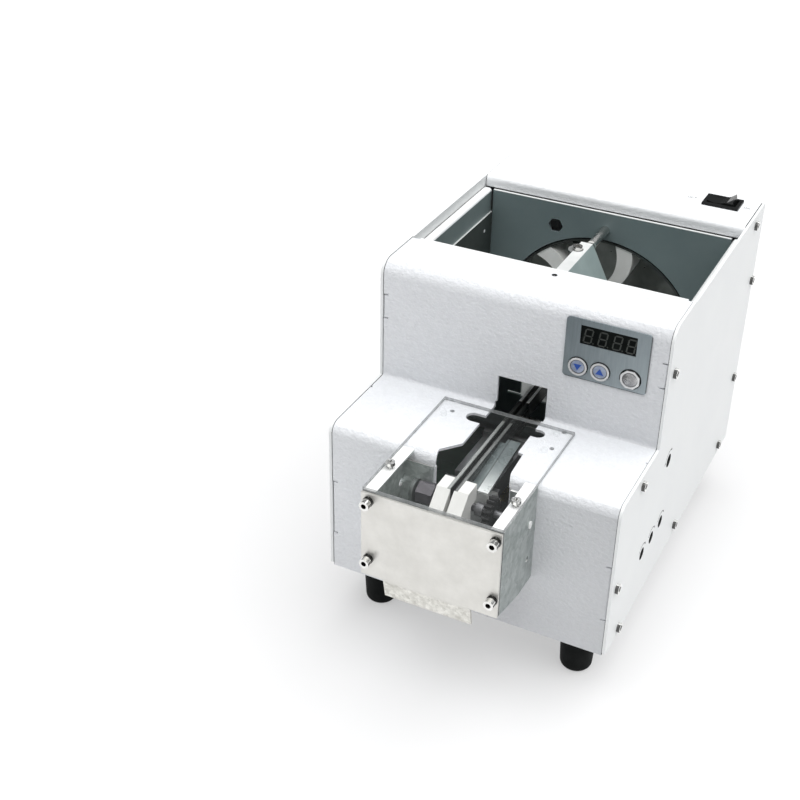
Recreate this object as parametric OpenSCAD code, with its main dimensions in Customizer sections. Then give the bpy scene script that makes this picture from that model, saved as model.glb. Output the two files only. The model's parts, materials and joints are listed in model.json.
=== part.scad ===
// Screw counting machine: a drum lifts loose screws from the hopper onto a pair of
// vibrating rails, a roller at the nose lets them drop one by one past a light barrier.
// Working frame: X to the right, Y to the back from the lower front face, Z up from the base.

/* [Body] */
// Overall width over the side panels
body_w = 162; // [158:1:172]
// Depth of the side panels
body_d = 234; // [230:1:246]
// Height of the side panels without the feet
body_h = 164; // [161:1:174]
// Depth of the front step
step_d = 58; // [56:0.5:62]
// Height of the front step
step_h = 94; // [93:0.5:97]
// Sheet thickness of covers and panels
sheet_t = 1.5; // [1.3:0.1:1.7]
// Outside bend radius at the step edge
step_r = 6; // [4:0.5:8]
// Outside bend radius at the upper front edge
top_r = 8; // [5:0.5:10]
// Joint line between covers and panels
seam = 0.2; // [0.1:0.05:0.3]
// Height of the lip at the top bar
lip_h = 7; // [6:0.5:9]
// Front edge of the hopper mouth
hopper_y = 92; // [90:0.5:94]

/* [Feet] */
// Height of the rubber feet
foot_h = 31; // [26:1:36]
// Diameter of the feet at the top
foot_d = 20.5; // [18:0.5:23]
// Sideways distance of the feet from the middle
foot_x = 60; // [56:1:64]

/* [Rails and drum] */
// Sideways place of the rails, the drum and the nose
mid_x = -1; // [-2:0.5:0]
// Thickness of one rail
rail_t = 2; // [1.6:0.1:2.4]
// Slit between the rails
slit_w = 2; // [1.9:0.1:2.4]
// Stroke of the rails to each side
shake = 0.5; // [0.3:0.1:0.6]
// Drum opening below the top edge
drum_drop = 25; // [25:0.5:28]
// Drum opening above the base
drum_rise = 15; // [14:0.5:17]
// Number of scoops in the drum
scoop_n = 7; // [6:1:8]

/* [Nose] */
// Width of the nose
nose_w = 75; // [73:0.5:77]
// Reach of the nose in front of the body
nose_d = 43.5; // [42:0.5:46]
// Sheet thickness of the nose
nose_t = 1.2; // [1:0.1:1.4]
// Thickness of the clear cover
clear_t = 2; // [1.5:0.1:3]

/* [Fits] */
// Radial play of a turning or sliding fit
run_fit = 0.05; // [0.03:0.01:0.08]
// Radial play of a screw in its hole
hole_fit = 0.05; // [0.02:0.01:0.1]
// Open gap around parts that move
move_gap = 0.4; // [0.3:0.05:0.5]

/* [Hidden] */
$fn = 48;
half_w = body_w / 2;
in_w = half_w - sheet_t;
cov_w = in_w - seam;
proud = 0.4;
edge_r = 1.2;
screw_d = 3;
plate_t = 1.5;
washer_t = 1.2;
cap_h = 4;
jack_out = 1.5;
nose_out = nose_d + plate_t + washer_t + cap_h;
y_shift = -(body_d + jack_out - nose_out) / 2;

wall_y = body_d - 43;
wall_t = 1.5;
wall_top = body_h - lip_h - 0.7;
bar_y = wall_y + wall_t + 0.4;
hop_w = in_w - 5;
hop_t = 1.5;
hop_top = body_h - 7;
hop_r = 2;
liner_top = body_h - 22;
back_w = hop_w - 1.1;
hop_y0 = hopper_y + 3;
hop_y1 = hop_y0 + hop_t;
hop_y2 = wall_y - 0.2;

rail_z = step_h - 4.4;
rail_h = 10;
rail_y1 = wall_y + 16;
kink_y = -17.5;
rail_l0 = mid_x - slit_w / 2 - rail_t;
rail_l1 = mid_x - slit_w / 2;
rail_r0 = mid_x + slit_w / 2;
rail_r1 = mid_x + slit_w / 2 + rail_t;
rod_z = rail_z - 16.6;
rod_d = 5;
bar_z0 = rod_z - 5;
bar_z1 = rail_z - rail_h;
shaker_y = 32;
shaker_z = bar_z0 - 8;

drum_gap = 1;
drum_r = (body_h - drum_drop - drum_rise) / 2 - drum_gap;
drum_z = drum_rise + drum_gap + drum_r;
drum_k = drum_r / 61;
drum_y0 = wall_y + 0.5;
drum_y1 = drum_y0 + 24.5;
disc_t = 1.5;
rim_t = 1.2;
shaft_d = 8;
gear_m = 2;
gear_n = floor(drum_r) - 1;
pinion_n = 16;
gear_t = 5;
drive_side = 22.3;
drive_c = gear_m * (gear_n + pinion_n) / 2;
drive_x = in_w - drive_side;
drive_a = -acos((drive_x - mid_x) / drive_c);
drive_z = drum_z + drive_c * sin(drive_a);
motor_d = 25;
floor_z0 = rail_z - 15.6;
floor_z1 = drive_z + motor_d / 2 + 5.35;

roof_z = body_h - 18.7;
roof_x = mid_x - 2.5;
roof_y0 = hop_y1 + 12;
roof_y1 = wall_y - 23.8;
roof_w = 3.5;
roof_t = 1.2;
roof_h = 39;
lobe_x = roof_x - 1.9;
lobe_y = roof_y1 - 10.7;
pin_x = mid_x + 0.1;

nose_mid = mid_x + 0.9;
nose_x0 = nose_mid - nose_w / 2;
nose_x1 = nose_mid + nose_w / 2;
nose_top = step_h;
nose_low = step_h - 51;
roll_y = -8;
roll_z = step_h - 18.6;
roll_d = 4;
roll_m = 1;
roll_n = 16;
roll_c = roll_m * roll_n;
roll_gx = mid_x + 15.5;
chute_z = roll_z - roll_c - 8.9;
chute_l = 24.6;
chute_fall = 7.5;
hub_l = 9;
hub_x = mid_x - 22.5;
hub_gap = 0.45;
hub_d = 2 * (-roll_y - nose_t - hub_gap);
ear_t = 2;
ear_x = hub_x - 1.5 - ear_t;
ear_r = 6;
pass_left = [-3.6, step_h - 20.6, 4.6];
pass_right = [roll_y, roll_z, roll_d + 2 * run_fit];
cap_in = [4.1, 2.9];
cap_x = [nose_x0 + cap_in[0], nose_x1 - cap_in[1]];
cap_z = [step_h - 40.3, step_h - 4.6];

panel_x = in_w - 31.85;
panel_z = body_h - 22.35;
disp_x = in_w - 31.6;
disp_z = body_h - 13.75;
key_z = body_h - 32.4;
key_x = [in_w - 46.2, in_w - 34.2, in_w - 18.2];
key_r = 5.05;
set_r = 5.4;
key_out = 1;
key_in = 0.8;
lay_t = 0.8;

sw_x = in_w - 20.3;
sw_y = body_d - 14.1;
sw_tilt = 11;
sw_z = body_h - 0.3;

trim_y = [49.8, 65.7, 81.8];
trim_z = 32.5;
gate_y = 81.3;
gate_z = rail_z - 16;
gate_d = 6;
gate_l = rail_z - gate_z + 3;

jack_x = 24.5 - in_w;
jack_z = 20;

side_pts = [
    [6.8, step_h - 53.3],
    [33, step_h - 6.2],
    [step_d + 8.3, body_h - 27.9],
    [body_d - 19, body_h - 7.3],
    [body_d - 5.3, 115.4],
    [body_d - 9.3, 49.6],
    [body_d - 23.3, 7.1],
    [117.6, 6.5],
    [19.9, 4.5]
];
feet_pts = [
    [-foot_x, 21],
    [foot_x, 21],
    [-foot_x, body_d - 22],
    [foot_x, body_d - 22]
];

// Moves the working frame to the middle of the footprint, feet on the ground.
module placed() {
    translate([0, y_shift, foot_h]) children();
}

module box(x0, x1, y0, y1, z0, z1) {
    translate([x0, y0, z0]) cube([x1 - x0, y1 - y0, z1 - z0]);
}

module rod_x(x0, x1, y, z, d) {
    translate([x0, y, z]) rotate([0, 90, 0]) cylinder(h = x1 - x0, d = d);
}

module rod_y(x, y0, y1, z, d) {
    translate([x, y1, z]) rotate([90, 0, 0]) cylinder(h = y1 - y0, d = d);
}

module rod_z(x, y, z0, z1, d) {
    translate([x, y, z0]) cylinder(h = z1 - z0, d = d);
}

// Outline drawn in Y and Z, pulled along X.
module along_x(x0, x1) {
    translate([x0, 0, 0]) rotate([90, 0, 90]) linear_extrude(height = x1 - x0) children();
}

// Outline drawn in X and Z, pulled along Y.
module along_y(y0, y1) {
    translate([0, y1, 0]) rotate([90, 0, 0]) linear_extrude(height = y1 - y0) children();
}

// Bent sheet: part of a tube around an axis along X, angles from Y towards Z.
module bend_x(x0, x1, y, z, r, t, a0, a1) {
    translate([x0, y, z])
        rotate([90, 0, 90])
            rotate([0, 0, a0])
                rotate_extrude(angle = a1 - a0)
                    translate([r - t, 0]) square([t, x1 - x0]);
}

module both_sides() {
    children();
    mirror([1, 0, 0]) children();
}

// Spur gear outline with involute flanks.
function inv(a) = tan(a) - a * PI / 180;
function half_at(m, n, r) =
    let (rb = m * n / 2 * cos(20), a = acos(min(1, rb / r)))
    90 / n - 12 / n + (inv(20) - inv(a)) * 180 / PI;
function polar(r, a) = [r * cos(a), r * sin(a)];
function tooth(m, n, c) =
    let (rp = m * n / 2, rb = rp * cos(20), rf = rp - 1.2 * m, ra = rp + 0.85 * m)
    let (r1 = max(rf, rb))
    [
        polar(rf, c - half_at(m, n, r1)),
        polar(r1 + 0.05, c - half_at(m, n, r1 + 0.05)),
        polar(rp, c - half_at(m, n, rp)),
        polar(ra, c - half_at(m, n, ra)),
        polar(ra, c + half_at(m, n, ra)),
        polar(rp, c + half_at(m, n, rp)),
        polar(r1 + 0.05, c + half_at(m, n, r1 + 0.05)),
        polar(rf, c + half_at(m, n, r1))
    ];
module gear_2d(m, n, phase) {
    polygon([for (k = [0 : n - 1]) each tooth(m, n, phase + k * 360 / n)]);
}

// Cover flanges behind a side screw.
module flange(y0, y1, z0, z1) {
    both_sides() box(in_w - 1.5, in_w, y0, y1, z0, z1);
}

module side_holes(d) {
    for (p = side_pts) {
        rod_x(-half_w - 1, -in_w + 4, p[0], p[1], d);
        rod_x(in_w - 4, half_w + 1, p[0], p[1], d);
    }
}

module key_holes(y0, y1, gap) {
    rod_y(key_x[0], y0, y1, key_z, 2 * (key_r + gap));
    rod_y(key_x[1], y0, y1, key_z, 2 * (key_r + gap));
    rod_y(key_x[2], y0, y1, key_z, 2 * (set_r + gap));
}

// Rounded bend to a cover flange, with a short slit at either end.
module bend_relief(y, z0, z1) {
    both_sides() {
        difference() {
            box(cov_w - edge_r, in_w + 1, y - 1, y + edge_r, z0, z1);
            rod_z(cov_w - edge_r, y + edge_r, z0 - 1, z1 + 1, 2 * edge_r);
        }
        for (z = [z0, z1]) {
            box(cov_w - 3, in_w + 1, y - 1, y + sheet_t + 0.3, z - 0.4, z + 0.4);
        }
    }
}

module front_cover() {
    color("white") placed() difference() {
        union() {
            box(-cov_w, cov_w, 0, sheet_t, 0, step_h - step_r);
            bend_x(-cov_w, cov_w, step_r, step_h - step_r, step_r, sheet_t, 90, 180);
            box(-cov_w, cov_w, step_r, step_d + sheet_t, step_h - sheet_t, step_h);
            box(-cov_w, cov_w, step_d, step_d + sheet_t, step_h - sheet_t, body_h - top_r);
            bend_x(-cov_w, cov_w, step_d + top_r, body_h - top_r, top_r, sheet_t, 90, 180);
            box(-cov_w, cov_w, step_d + top_r, hopper_y, body_h - sheet_t, body_h);
            difference() {
                box(-cov_w, cov_w, step_d - 2, step_d + 0.5, step_h - 0.5, step_h + 2);
                rod_x(-half_w, half_w, step_d - 2, step_h + 2, 4);
            }
            flange(0.8, 13, step_h - 70, step_h - 37);
            flange(22, 44, step_h - 13, step_h - 0.8);
            flange(step_d + 0.8, step_d + 15, body_h - 33, body_h - 20);
        }
        box(mid_x - 9.2, mid_x + 18.8, step_d - 3, step_d + 4, step_h - 3, step_h + 19);
        translate([mid_x, 0, step_h - step_r - 1])
            linear_extrude(height = step_r + 4)
                polygon([
                    [-10.2, step_d + 2], [-10.2, 16.5], [-18.8, 6], [-17.6, -1],
                    [23.4, -1], [22.2, 3.4], [21.2, 21.7], [18.2, 22.6], [17.9, step_d + 2]
                ]);
        box(mid_x - 17.6, mid_x + 23.4, -1, sheet_t + 1, step_h - 42, step_h - step_r);
        box(mid_x - 15.4, mid_x - 9, 37.8, 46.2, step_h - 3, step_h + 3);
        rod_z(mid_x - 15.4, 42, step_h - 3, step_h + 3, 8.4);
        box(mid_x + 17, mid_x + 20.8, 39.4, 46.8, step_h - 3, step_h + 3);
        rod_z(mid_x + 20.8, 43.1, step_h - 3, step_h + 3, 7.4);
        rod_z(mid_x - 28, 42, step_h - 3, step_h + 3, 2.6);
        rod_z(mid_x + 32.6, 50.7, step_h - 3, step_h + 3, 2.6);
        rod_z(mid_x + 32.3, 33.7, step_h - 3, step_h + 3, 2.6);
        rod_z(6.5, hopper_y - 5.5, body_h - 3, body_h + 3, 2.5);
        box(disp_x - 15.1, disp_x + 15.1, step_d - 1, step_d + 4, disp_z - 5.6, disp_z + 5.6);
        key_holes(step_d - 1, step_d + 4, move_gap + 0.15);
        bend_relief(0, step_h - 70.6, step_h - 36.4);
        bend_relief(step_d, body_h - 33.6, body_h - 19.4);
        both_sides() box(cov_w - 1, cov_w + 1, 43, 44.5, step_h - 1, step_h + 1);
        side_holes(screw_d + 2 * hole_fit);
    }
}

module panel_plate(x0) {
    difference() {
        union() {
            along_x(x0, x0 + sheet_t)
                polygon([
                    [1.5, 0], [-proud, 2], [-proud, step_h - step_r], [step_r, step_h + proud],
                    [step_d - proud, step_h + proud], [step_d - proud, body_h - top_r],
                    [step_d + top_r, body_h + proud], [hopper_y + 1, body_h + proud],
                    [hopper_y + 2, body_h - 0.4], [body_d - 1, body_h - 0.4],
                    [body_d, body_h - 1.4], [body_d, 0]
                ]);
            rod_x(x0, x0 + sheet_t, step_r, step_h - step_r, 2 * (step_r + proud));
            rod_x(x0, x0 + sheet_t, step_d + top_r, body_h - top_r, 2 * (top_r + proud));
        }
        side_holes(screw_d + 2 * hole_fit);
    }
}

module left_side_panel() {
    color("whitesmoke") placed() panel_plate(-half_w);
}

module right_side_panel() {
    color("whitesmoke") placed() difference() {
        panel_plate(in_w);
        for (y = trim_y) {
            rod_x(in_w - 1, half_w + 1, y, trim_z, 7);
        }
        rod_x(in_w - 1, half_w + 1, gate_y, gate_z, 7.5);
    }
}

module rear_cover() {
    bar_r = 3.5;
    back_r = 3;
    color("white") placed() difference() {
        union() {
            box(-cov_w, cov_w, bar_y, bar_y + sheet_t, body_h - lip_h, body_h - bar_r);
            bend_x(-cov_w, cov_w, bar_y + bar_r, body_h - bar_r, bar_r, sheet_t, 90, 180);
            box(-cov_w, cov_w, bar_y + bar_r, body_d - back_r, body_h - sheet_t, body_h);
            bend_x(-cov_w, cov_w, body_d - back_r, body_h - back_r, back_r, sheet_t, 0, 90);
            box(-cov_w, cov_w, body_d - sheet_t, body_d, 0.3, body_h - back_r);
            flange(body_d - 28, body_d - 10, body_h - 16, body_h - 0.8);
            flange(body_d - 14, body_d - 0.8, 108, 123);
            flange(body_d - 16, body_d - 0.8, 42, 57);
        }
        box(sw_x - 9.7, sw_x + 9.7, sw_y - 6.5, sw_y + 6.5, body_h - 3, body_h + 3);
        rod_y(jack_x, body_d - 3, body_d + 1, jack_z, 8.2);
        for (k = [0 : 5]) {
            box(22 + k * 8, 25 + k * 8, body_d - 3, body_d + 1, 60, 96);
        }
        side_holes(screw_d + 2 * hole_fit);
    }
}

module base_plate() {
    color("silver") placed() difference() {
        union() {
            box(-cov_w, cov_w, sheet_t + 0.2, body_d - sheet_t - 0.2, 0, 1.5);
            flange(14, body_d - 17, 0, 12);
        }
        for (p = feet_pts) {
            rod_z(p[0], p[1], -1, 3, 4 + 2 * hole_fit);
        }
        side_holes(screw_d + 2 * hole_fit);
    }
}

module foot() {
    r = foot_d / 2;
    difference() {
        rotate_extrude()
            polygon(concat(
                [[0, 0], [0, -foot_h]],
                [for (a = [0 : 15 : 90]) [r - 5 + 3.6 * sin(a), -foot_h + 3.6 - 3.6 * cos(a)]],
                [[r, 0]]
            ));
        rod_z(0, 0, -foot_h - 1, -foot_h + 12, 8.4);
        rod_z(0, 0, -foot_h, 1, 4 + 2 * hole_fit);
    }
}

module rubber_feet() {
    color("dimgray") placed() {
        for (p = feet_pts) {
            translate([p[0], p[1], 0]) foot();
        }
    }
}

module foot_screws() {
    color("silver") placed() {
        for (p = feet_pts) {
            translate([p[0], p[1], 0]) difference() {
                union() {
                    rod_z(0, 0, -foot_h + 9, -foot_h + 12, 7);
                    rod_z(0, 0, -foot_h + 11, 4, 4);
                }
                translate([0, 0, -foot_h + 8]) cylinder(h = 3, d = 4, $fn = 6);
            }
        }
    }
}

// Pan head screw with its axis along X, head at the outside of the right panel.
module side_screw() {
    difference() {
        union() {
            rod_x(half_w, half_w + 1.8, 0, 0, 5.6);
            rod_x(in_w - 3.4, half_w + 0.5, 0, 0, screw_d);
        }
        box(half_w + 0.9, half_w + 3, -1.7, 1.7, -0.4, 0.4);
        box(half_w + 0.9, half_w + 3, -0.4, 0.4, -1.7, 1.7);
    }
}

module side_screws() {
    color("silver") placed() both_sides() {
        for (p = side_pts) {
            translate([0, p[0], p[1]]) side_screw();
        }
    }
}

// Upright wall with a rounded edge and a flange that lies against the side panel.
module hopper_side() {
    along_y(hop_y1, hop_y2)
        polygon(concat(
            [[hop_w + hop_t, floor_z0 - 16], [hop_w, floor_z0 - 16]],
            [for (a = [180 : -15 : 90]) [hop_w + hop_r + hop_r * cos(a), hop_top - hop_r + hop_r * sin(a)]],
            [[in_w, hop_top], [in_w, hop_top - hop_t], [hop_w + hop_t, hop_top - hop_t]]
        ));
}

module hopper_right_wall() {
    color("darkslategray") placed() hopper_side();
}

module hopper_left_wall() {
    color("darkslategray") placed() mirror([1, 0, 0]) hopper_side();
}

module hopper_front_wall() {
    color("darkslategray") placed() difference() {
        box(-hop_w - hop_t, hop_w + hop_t, hop_y0, hop_y1, floor_z0 - 18, body_h - sheet_t);
        box(mid_x - 10, mid_x + 5.5, hop_y0 - 1, hop_y1 + 1, bar_z1 - 0.6, rail_z + 12);
        box(mid_x - 18, mid_x - 9, hop_y0 - 1, hop_y1 + 1, bar_z1 + 0.4, bar_z1 + 2);
    }
}

module hopper_floor() {
    y1 = wall_y;
    color("dimgray") placed() union() {
        along_x(-hop_w, hop_w)
            polygon([
                [hop_y1, floor_z0], [y1, floor_z1], [y1, floor_z1 - 1.2], [hop_y1, floor_z0 - 1.2]
            ]);
        both_sides()
            along_x(hop_w - 1, hop_w)
                polygon([
                    [hop_y1, floor_z0 - 0.5], [hop_y1, liner_top],
                    [hop_y2, liner_top], [hop_y2, floor_z1 - 0.3]
                ]);
    }
}

module bulkhead() {
    color("slategray") placed() difference() {
        box(-cov_w, cov_w, wall_y, wall_y + wall_t, 1.5, wall_top);
        rod_y(mid_x, wall_y - 1, wall_y + 3, drum_z, 2 * (drum_r + drum_gap));
        translate([mid_x - 31, wall_y + 3, body_h - 22.4])
            rotate([90, 0, 0]) cylinder(h = 5, r = 4.7, $fn = 6);
        rod_y(pin_x, wall_y - 1, wall_y + 3, roof_z, 4 + 2 * hole_fit);
        rod_y(drive_x, wall_y - 1, wall_y + 3, drive_z, 10);
        both_sides() {
            box(in_w - 1.6, in_w + 1, wall_y - 1, wall_y + 3, 0, 12.3);
            box(back_w, in_w + 1, wall_y - 1, wall_y + 3, floor_z1 + 10, body_h);
        }
    }
}

// Pin in the bulkhead with a flat tongue under the ridge of the roof.
module deflector_shaft() {
    color("silver") placed() difference() {
        union() {
            rod_y(pin_x, roof_y1 + 0.4, wall_y, roof_z, 5.6);
            rod_y(pin_x, wall_y - 1, wall_y + wall_t, roof_z, 4);
            box(roof_x - 1.4, pin_x - 0.2, lobe_y - 3, roof_y1 + 1.4, roof_z - 2.2, roof_z);
        }
        rod_z(lobe_x, lobe_y, roof_z - 4, roof_z + 1, screw_d + 2 * hole_fit);
    }
}

// Roof over the rails: flat ridge, two steep faces and a lobe for the screw.
module rail_deflector() {
    color("lightgray") placed() difference() {
        union() {
            along_y(roof_y0, roof_y1)
                polygon([
                    [roof_x - roof_w, roof_z + roof_t], [roof_x + roof_w, roof_z + roof_t],
                    [roof_x + roof_w + 20.6, roof_z - roof_h], [roof_x + roof_w + 19.2, roof_z - roof_h],
                    [roof_x + roof_w - 0.5, roof_z], [roof_x - roof_w + 0.5, roof_z],
                    [roof_x - roof_w - 17.8, roof_z - roof_h], [roof_x - roof_w - 19.2, roof_z - roof_h]
                ]);
            rod_z(lobe_x, lobe_y, roof_z, roof_z + roof_t, 10.8);
            box(lobe_x, roof_x, lobe_y - 3, lobe_y + 5.4, roof_z, roof_z + roof_t);
        }
        rod_z(lobe_x, lobe_y, roof_z - 2, roof_z + 3, screw_d + 2 * hole_fit);
    }
}

module deflector_screw() {
    color("silver") placed() translate([lobe_x, lobe_y, roof_z]) difference() {
        union() {
            rod_z(0, 0, roof_t, roof_t + 2.2, 5.6);
            rod_z(0, 0, -4.6, roof_t + 1, screw_d);
        }
        box(-1.8, 1.8, -0.4, 0.4, roof_t + 1.2, roof_t + 4);
        box(-0.4, 0.4, -1.8, 1.8, roof_t + 1.2, roof_t + 4);
    }
}

module drum_shell() {
    color("silver") placed() difference() {
        rod_y(mid_x, drum_y0, drum_y1, drum_z, 2 * drum_r);
        rod_y(mid_x, drum_y0 - 1, drum_y1 - disc_t, drum_z, 2 * (drum_r - rim_t));
        rod_y(mid_x, drum_y0 - 1, drum_y1 + 1, drum_z, shaft_d + 0.02);
    }
}

// One scoop in the plane of the drum: a crescent between two arcs, blunt at its inner tip.
module scoop_2d() {
    difference() {
        intersection() {
            translate([-7.5 * drum_k, 50.9 * drum_k]) circle(r = 25.7 * drum_k);
            circle(r = drum_r - rim_t - 0.05);
        }
        translate([-18 * drum_k, 49.5 * drum_k]) circle(r = 26.8 * drum_k);
        circle(r = 32.5 * drum_k);
    }
}

// Curved scoops between rim and drum disc, hollow side leading upwards.
module drum_scoops() {
    color("gainsboro") placed()
        translate([mid_x, drum_y1 - disc_t, drum_z])
            rotate([90, 0, 0])
                for (k = [0 : scoop_n - 1]) {
                    rotate([0, 0, k * 360 / scoop_n])
                        linear_extrude(height = drum_y1 - disc_t - drum_y0 - 0.5) scoop_2d();
                }
}

module hole_at(r, a) {
    rod_y(mid_x + r * cos(a), drum_y1 - 1, drum_y1 + gear_t + 1, drum_z + r * sin(a), 24 * drum_k);
}

module drum_gear() {
    color("burlywood") placed() difference() {
        translate([mid_x, drum_y1 + gear_t, drum_z])
            rotate([90, 0, 0])
                linear_extrude(height = gear_t) gear_2d(gear_m, gear_n, drive_a + 180 / gear_n);
        rod_y(mid_x, drum_y1 - 1, drum_y1 + gear_t + 1, drum_z, shaft_d + 0.02);
        for (a = [0 : 60 : 300]) {
            hole_at(36 * drum_k, a);
        }
    }
}

module drum_shaft() {
    color("silver") placed() union() {
        rod_y(mid_x, drum_y1 - disc_t - 2.5, drum_y1 + gear_t + 10, drum_z, shaft_d);
        rod_y(mid_x, drum_y1 + gear_t, drum_y1 + gear_t + 2, drum_z, 18);
        rod_y(mid_x, drum_y1 - disc_t - 2.5, drum_y1 - disc_t, drum_z, 14);
    }
}

module bearing_block() {
    y0 = drum_y1 + gear_t + 3;
    color("gray") placed() difference() {
        box(mid_x - 17, mid_x + 17, y0, body_d - sheet_t, drum_z - 17, drum_z + 17);
        rod_y(mid_x, y0 - 1, y0 + 8, drum_z, shaft_d + 2 * run_fit);
    }
}

module drum_motor() {
    color("gray") placed() difference() {
        union() {
            rod_y(drive_x, wall_y - 24, wall_y, drive_z, motor_d);
            rod_y(drive_x, wall_y - 54, wall_y - 23, drive_z, motor_d - 1);
            rod_y(drive_x, wall_y - 1, wall_y + wall_t, drive_z, 9);
        }
        rod_y(drive_x, wall_y - 10, wall_y + 4, drive_z, 4 + 2 * run_fit);
    }
}

module motor_pinion() {
    color("goldenrod") placed() union() {
        translate([drive_x, drum_y1 + gear_t, drive_z])
            rotate([90, 0, 0])
                linear_extrude(height = gear_t) gear_2d(gear_m, pinion_n, drive_a + 180);
        rod_y(drive_x, wall_y - 9.5, drum_y1 + gear_t, drive_z, 4);
    }
}

module rail(x0) {
    along_x(x0, x0 + rail_t)
        polygon([
            [rail_y1, rail_z], [kink_y, rail_z], [kink_y, rail_z - 9],
            [-5, rail_z - 9], [-3, rail_z - rail_h], [rail_y1, rail_z - rail_h]
        ]);
}

module left_rail() {
    color("silver") placed() rail(rail_l0);
}

module right_rail() {
    color("silver") placed() rail(rail_r0);
}

// Carriage under the rails, and the spacers that hold the slit open.
module rail_bar() {
    color("gray") placed() {
        difference() {
            box(mid_x - 12, mid_x + 12, 12, step_d - 6, bar_z0, bar_z1);
            both_rods(rod_d + 2 * run_fit, 10, step_d);
        }
        for (y = [14, hop_y1 + 14, rail_y1 - 14]) {
            box(rail_l1, rail_r0, y, y + 10, rail_z - 9.6, rail_z - 7.6);
        }
    }
}

// Bright strip beside the rails, falling towards the front, on a leg from the rail bar.
module guide_bar() {
    color("lightgray") placed() union() {
        along_x(mid_x + 7, mid_x + 14)
            polygon([
                [37, rail_z], [-5, rail_z - 5.6], [-5, rail_z - 7.2], [37, rail_z - 1.6]
            ]);
        along_x(rail_r1, mid_x + 7.2)
            polygon([
                [36, rail_z - 2.2], [-4, rail_z - 7.3], [-4, rail_z - 8.5], [36, rail_z - 3.4]
            ]);
        along_x(mid_x + 6.6, mid_x + 7.4)
            polygon([
                [36.5, rail_z - 0.2], [-4.5, rail_z - 5.7], [-4.5, rail_z - 8.5], [36.5, rail_z - 3.4]
            ]);
        box(mid_x + 8.5, mid_x + 11.5, 14, 34, bar_z1, rail_z - 3.2);
    }
}

// Block beside a rail: level along the rail, then falling to the nose, where it also replaces the rail.
module end_block(x0, x1, x2) {
    fall_y = kink_y - 9;
    fall_z = rail_z - 8.2;
    foot_z = rail_z - 20;
    along_x(x0, x1)
        polygon([
            [-7.5, rail_z + 0.3], [kink_y, rail_z + 0.2], [fall_y, fall_z], [fall_y - 1.5, foot_z],
            [-14, foot_z], [-14, rail_z - 9.5], [-7.5, rail_z - 9]
        ]);
    along_x(min(x1, x2), max(x1, x2))
        polygon([
            [kink_y - 0.1, rail_z], [fall_y, fall_z - 0.3], [fall_y - 1.5, foot_z], [kink_y - 0.1, foot_z]
        ]);
}

module end_block_left() {
    color("ivory") placed() end_block(rail_l0 - 5.5, rail_l0, rail_l1);
}

module end_block_right() {
    color("ivory") placed() mirror([1, 0, 0]) end_block(-rail_r1 - 5.9, -rail_r1, -rail_r0);
}

module vibration_motor() {
    color("silver") placed() difference() {
        union() {
            rod_x(mid_x - 12, mid_x + 6, shaker_y, shaker_z, 12);
            box(mid_x - 10, mid_x + 4, shaker_y - 4, shaker_y + 4, shaker_z, bar_z0);
        }
        rod_x(mid_x - 4, mid_x + 8, shaker_y, shaker_z, 2 + 2 * run_fit);
    }
}

module vibration_weight() {
    color("goldenrod") placed() union() {
        difference() {
            rod_x(mid_x + 6.8, mid_x + 10.8, shaker_y, shaker_z, 11);
            box(mid_x + 6, mid_x + 12, shaker_y - 7, shaker_y + 7, shaker_z + 1.2, shaker_z + 8);
        }
        rod_x(mid_x - 3.5, mid_x + 10.8, shaker_y, shaker_z, 2);
    }
}

module both_rods(d, y0, y1) {
    rod_y(mid_x - 8, y0, y1, rod_z, d);
    rod_y(mid_x + 8, y0, y1, rod_z, d);
}

// Stand on the base plate with the two rods that carry the rail bar.
module rail_stand() {
    color("gray") placed() union() {
        box(mid_x - 15, mid_x + 15, 6, 9, 1.5, bar_z1 - 1.6);
        box(mid_x - 15, mid_x + 15, step_d - 3, step_d, 1.5, bar_z1 - 1.6);
        box(mid_x - 15, mid_x + 15, 6, step_d, 1.5, 4);
        both_rods(rod_d, 7, step_d - 1);
    }
}

// One nose side plate, outer face at x0 and inner side towards positive X.
module nose_plate(x0, back_w, hole_x, pass) {
    y0 = -nose_d;
    difference() {
        union() {
            along_x(x0, x0 + nose_t)
                polygon([
                    [y0, nose_low], [y0, nose_top], [0, nose_top], [0, nose_low - 6.3],
                    [-17, nose_low - 6]
                ]);
            box(x0, x0 + 6.8, y0, 0, nose_top - nose_t, nose_top);
            box(x0, x0 + 9, y0, y0 + nose_t, nose_low + 1, nose_top - 1.6);
            box(x0, x0 + back_w, -nose_t, 0, nose_low - 3, nose_top - 7);
        }
        rod_x(x0 - 1, x0 + 3, pass[0], pass[1], pass[2]);
        rod_x(x0 - 1, x0 + 3, roll_y, nose_low + 10.6, 3.2);
        rod_z(x0 + 3.4, -20.4, nose_top - 3, nose_top + 1, 2.6);
        for (z = cap_z) {
            rod_y(x0 + hole_x, y0 - 1, y0 + 3, z, screw_d + 2 * hole_fit);
        }
    }
}

module nose_left_plate() {
    color("lightgray") placed() nose_plate(nose_x0, 18, cap_in[0], pass_left);
}

module nose_right_plate() {
    color("lightgray") placed()
        translate([2 * nose_mid, 0, 0]) mirror([1, 0, 0]) nose_plate(nose_x0, 14, cap_in[1], pass_right);
}

module nose_front_plate() {
    y0 = -nose_d - plate_t;
    color("linen") placed() difference() {
        union() {
            box(nose_x0, nose_x1, y0, y0 + plate_t, nose_low, nose_top - 0.2);
            translate([mid_x - 24.2, y0, nose_low + 0.3])
                rotate([12, 0, 0]) translate([0, 0, -12.5]) cube([48.2, plate_t, 12.8]);
        }
        for (x = cap_x) {
            for (z = cap_z) {
                rod_y(x, y0 - 1, y0 + 3, z, screw_d + 2 * hole_fit);
            }
        }
    }
}

module at_caps() {
    for (x = cap_x) {
        for (z = cap_z) {
            translate([x, -nose_d - plate_t, z]) children();
        }
    }
}

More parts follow.
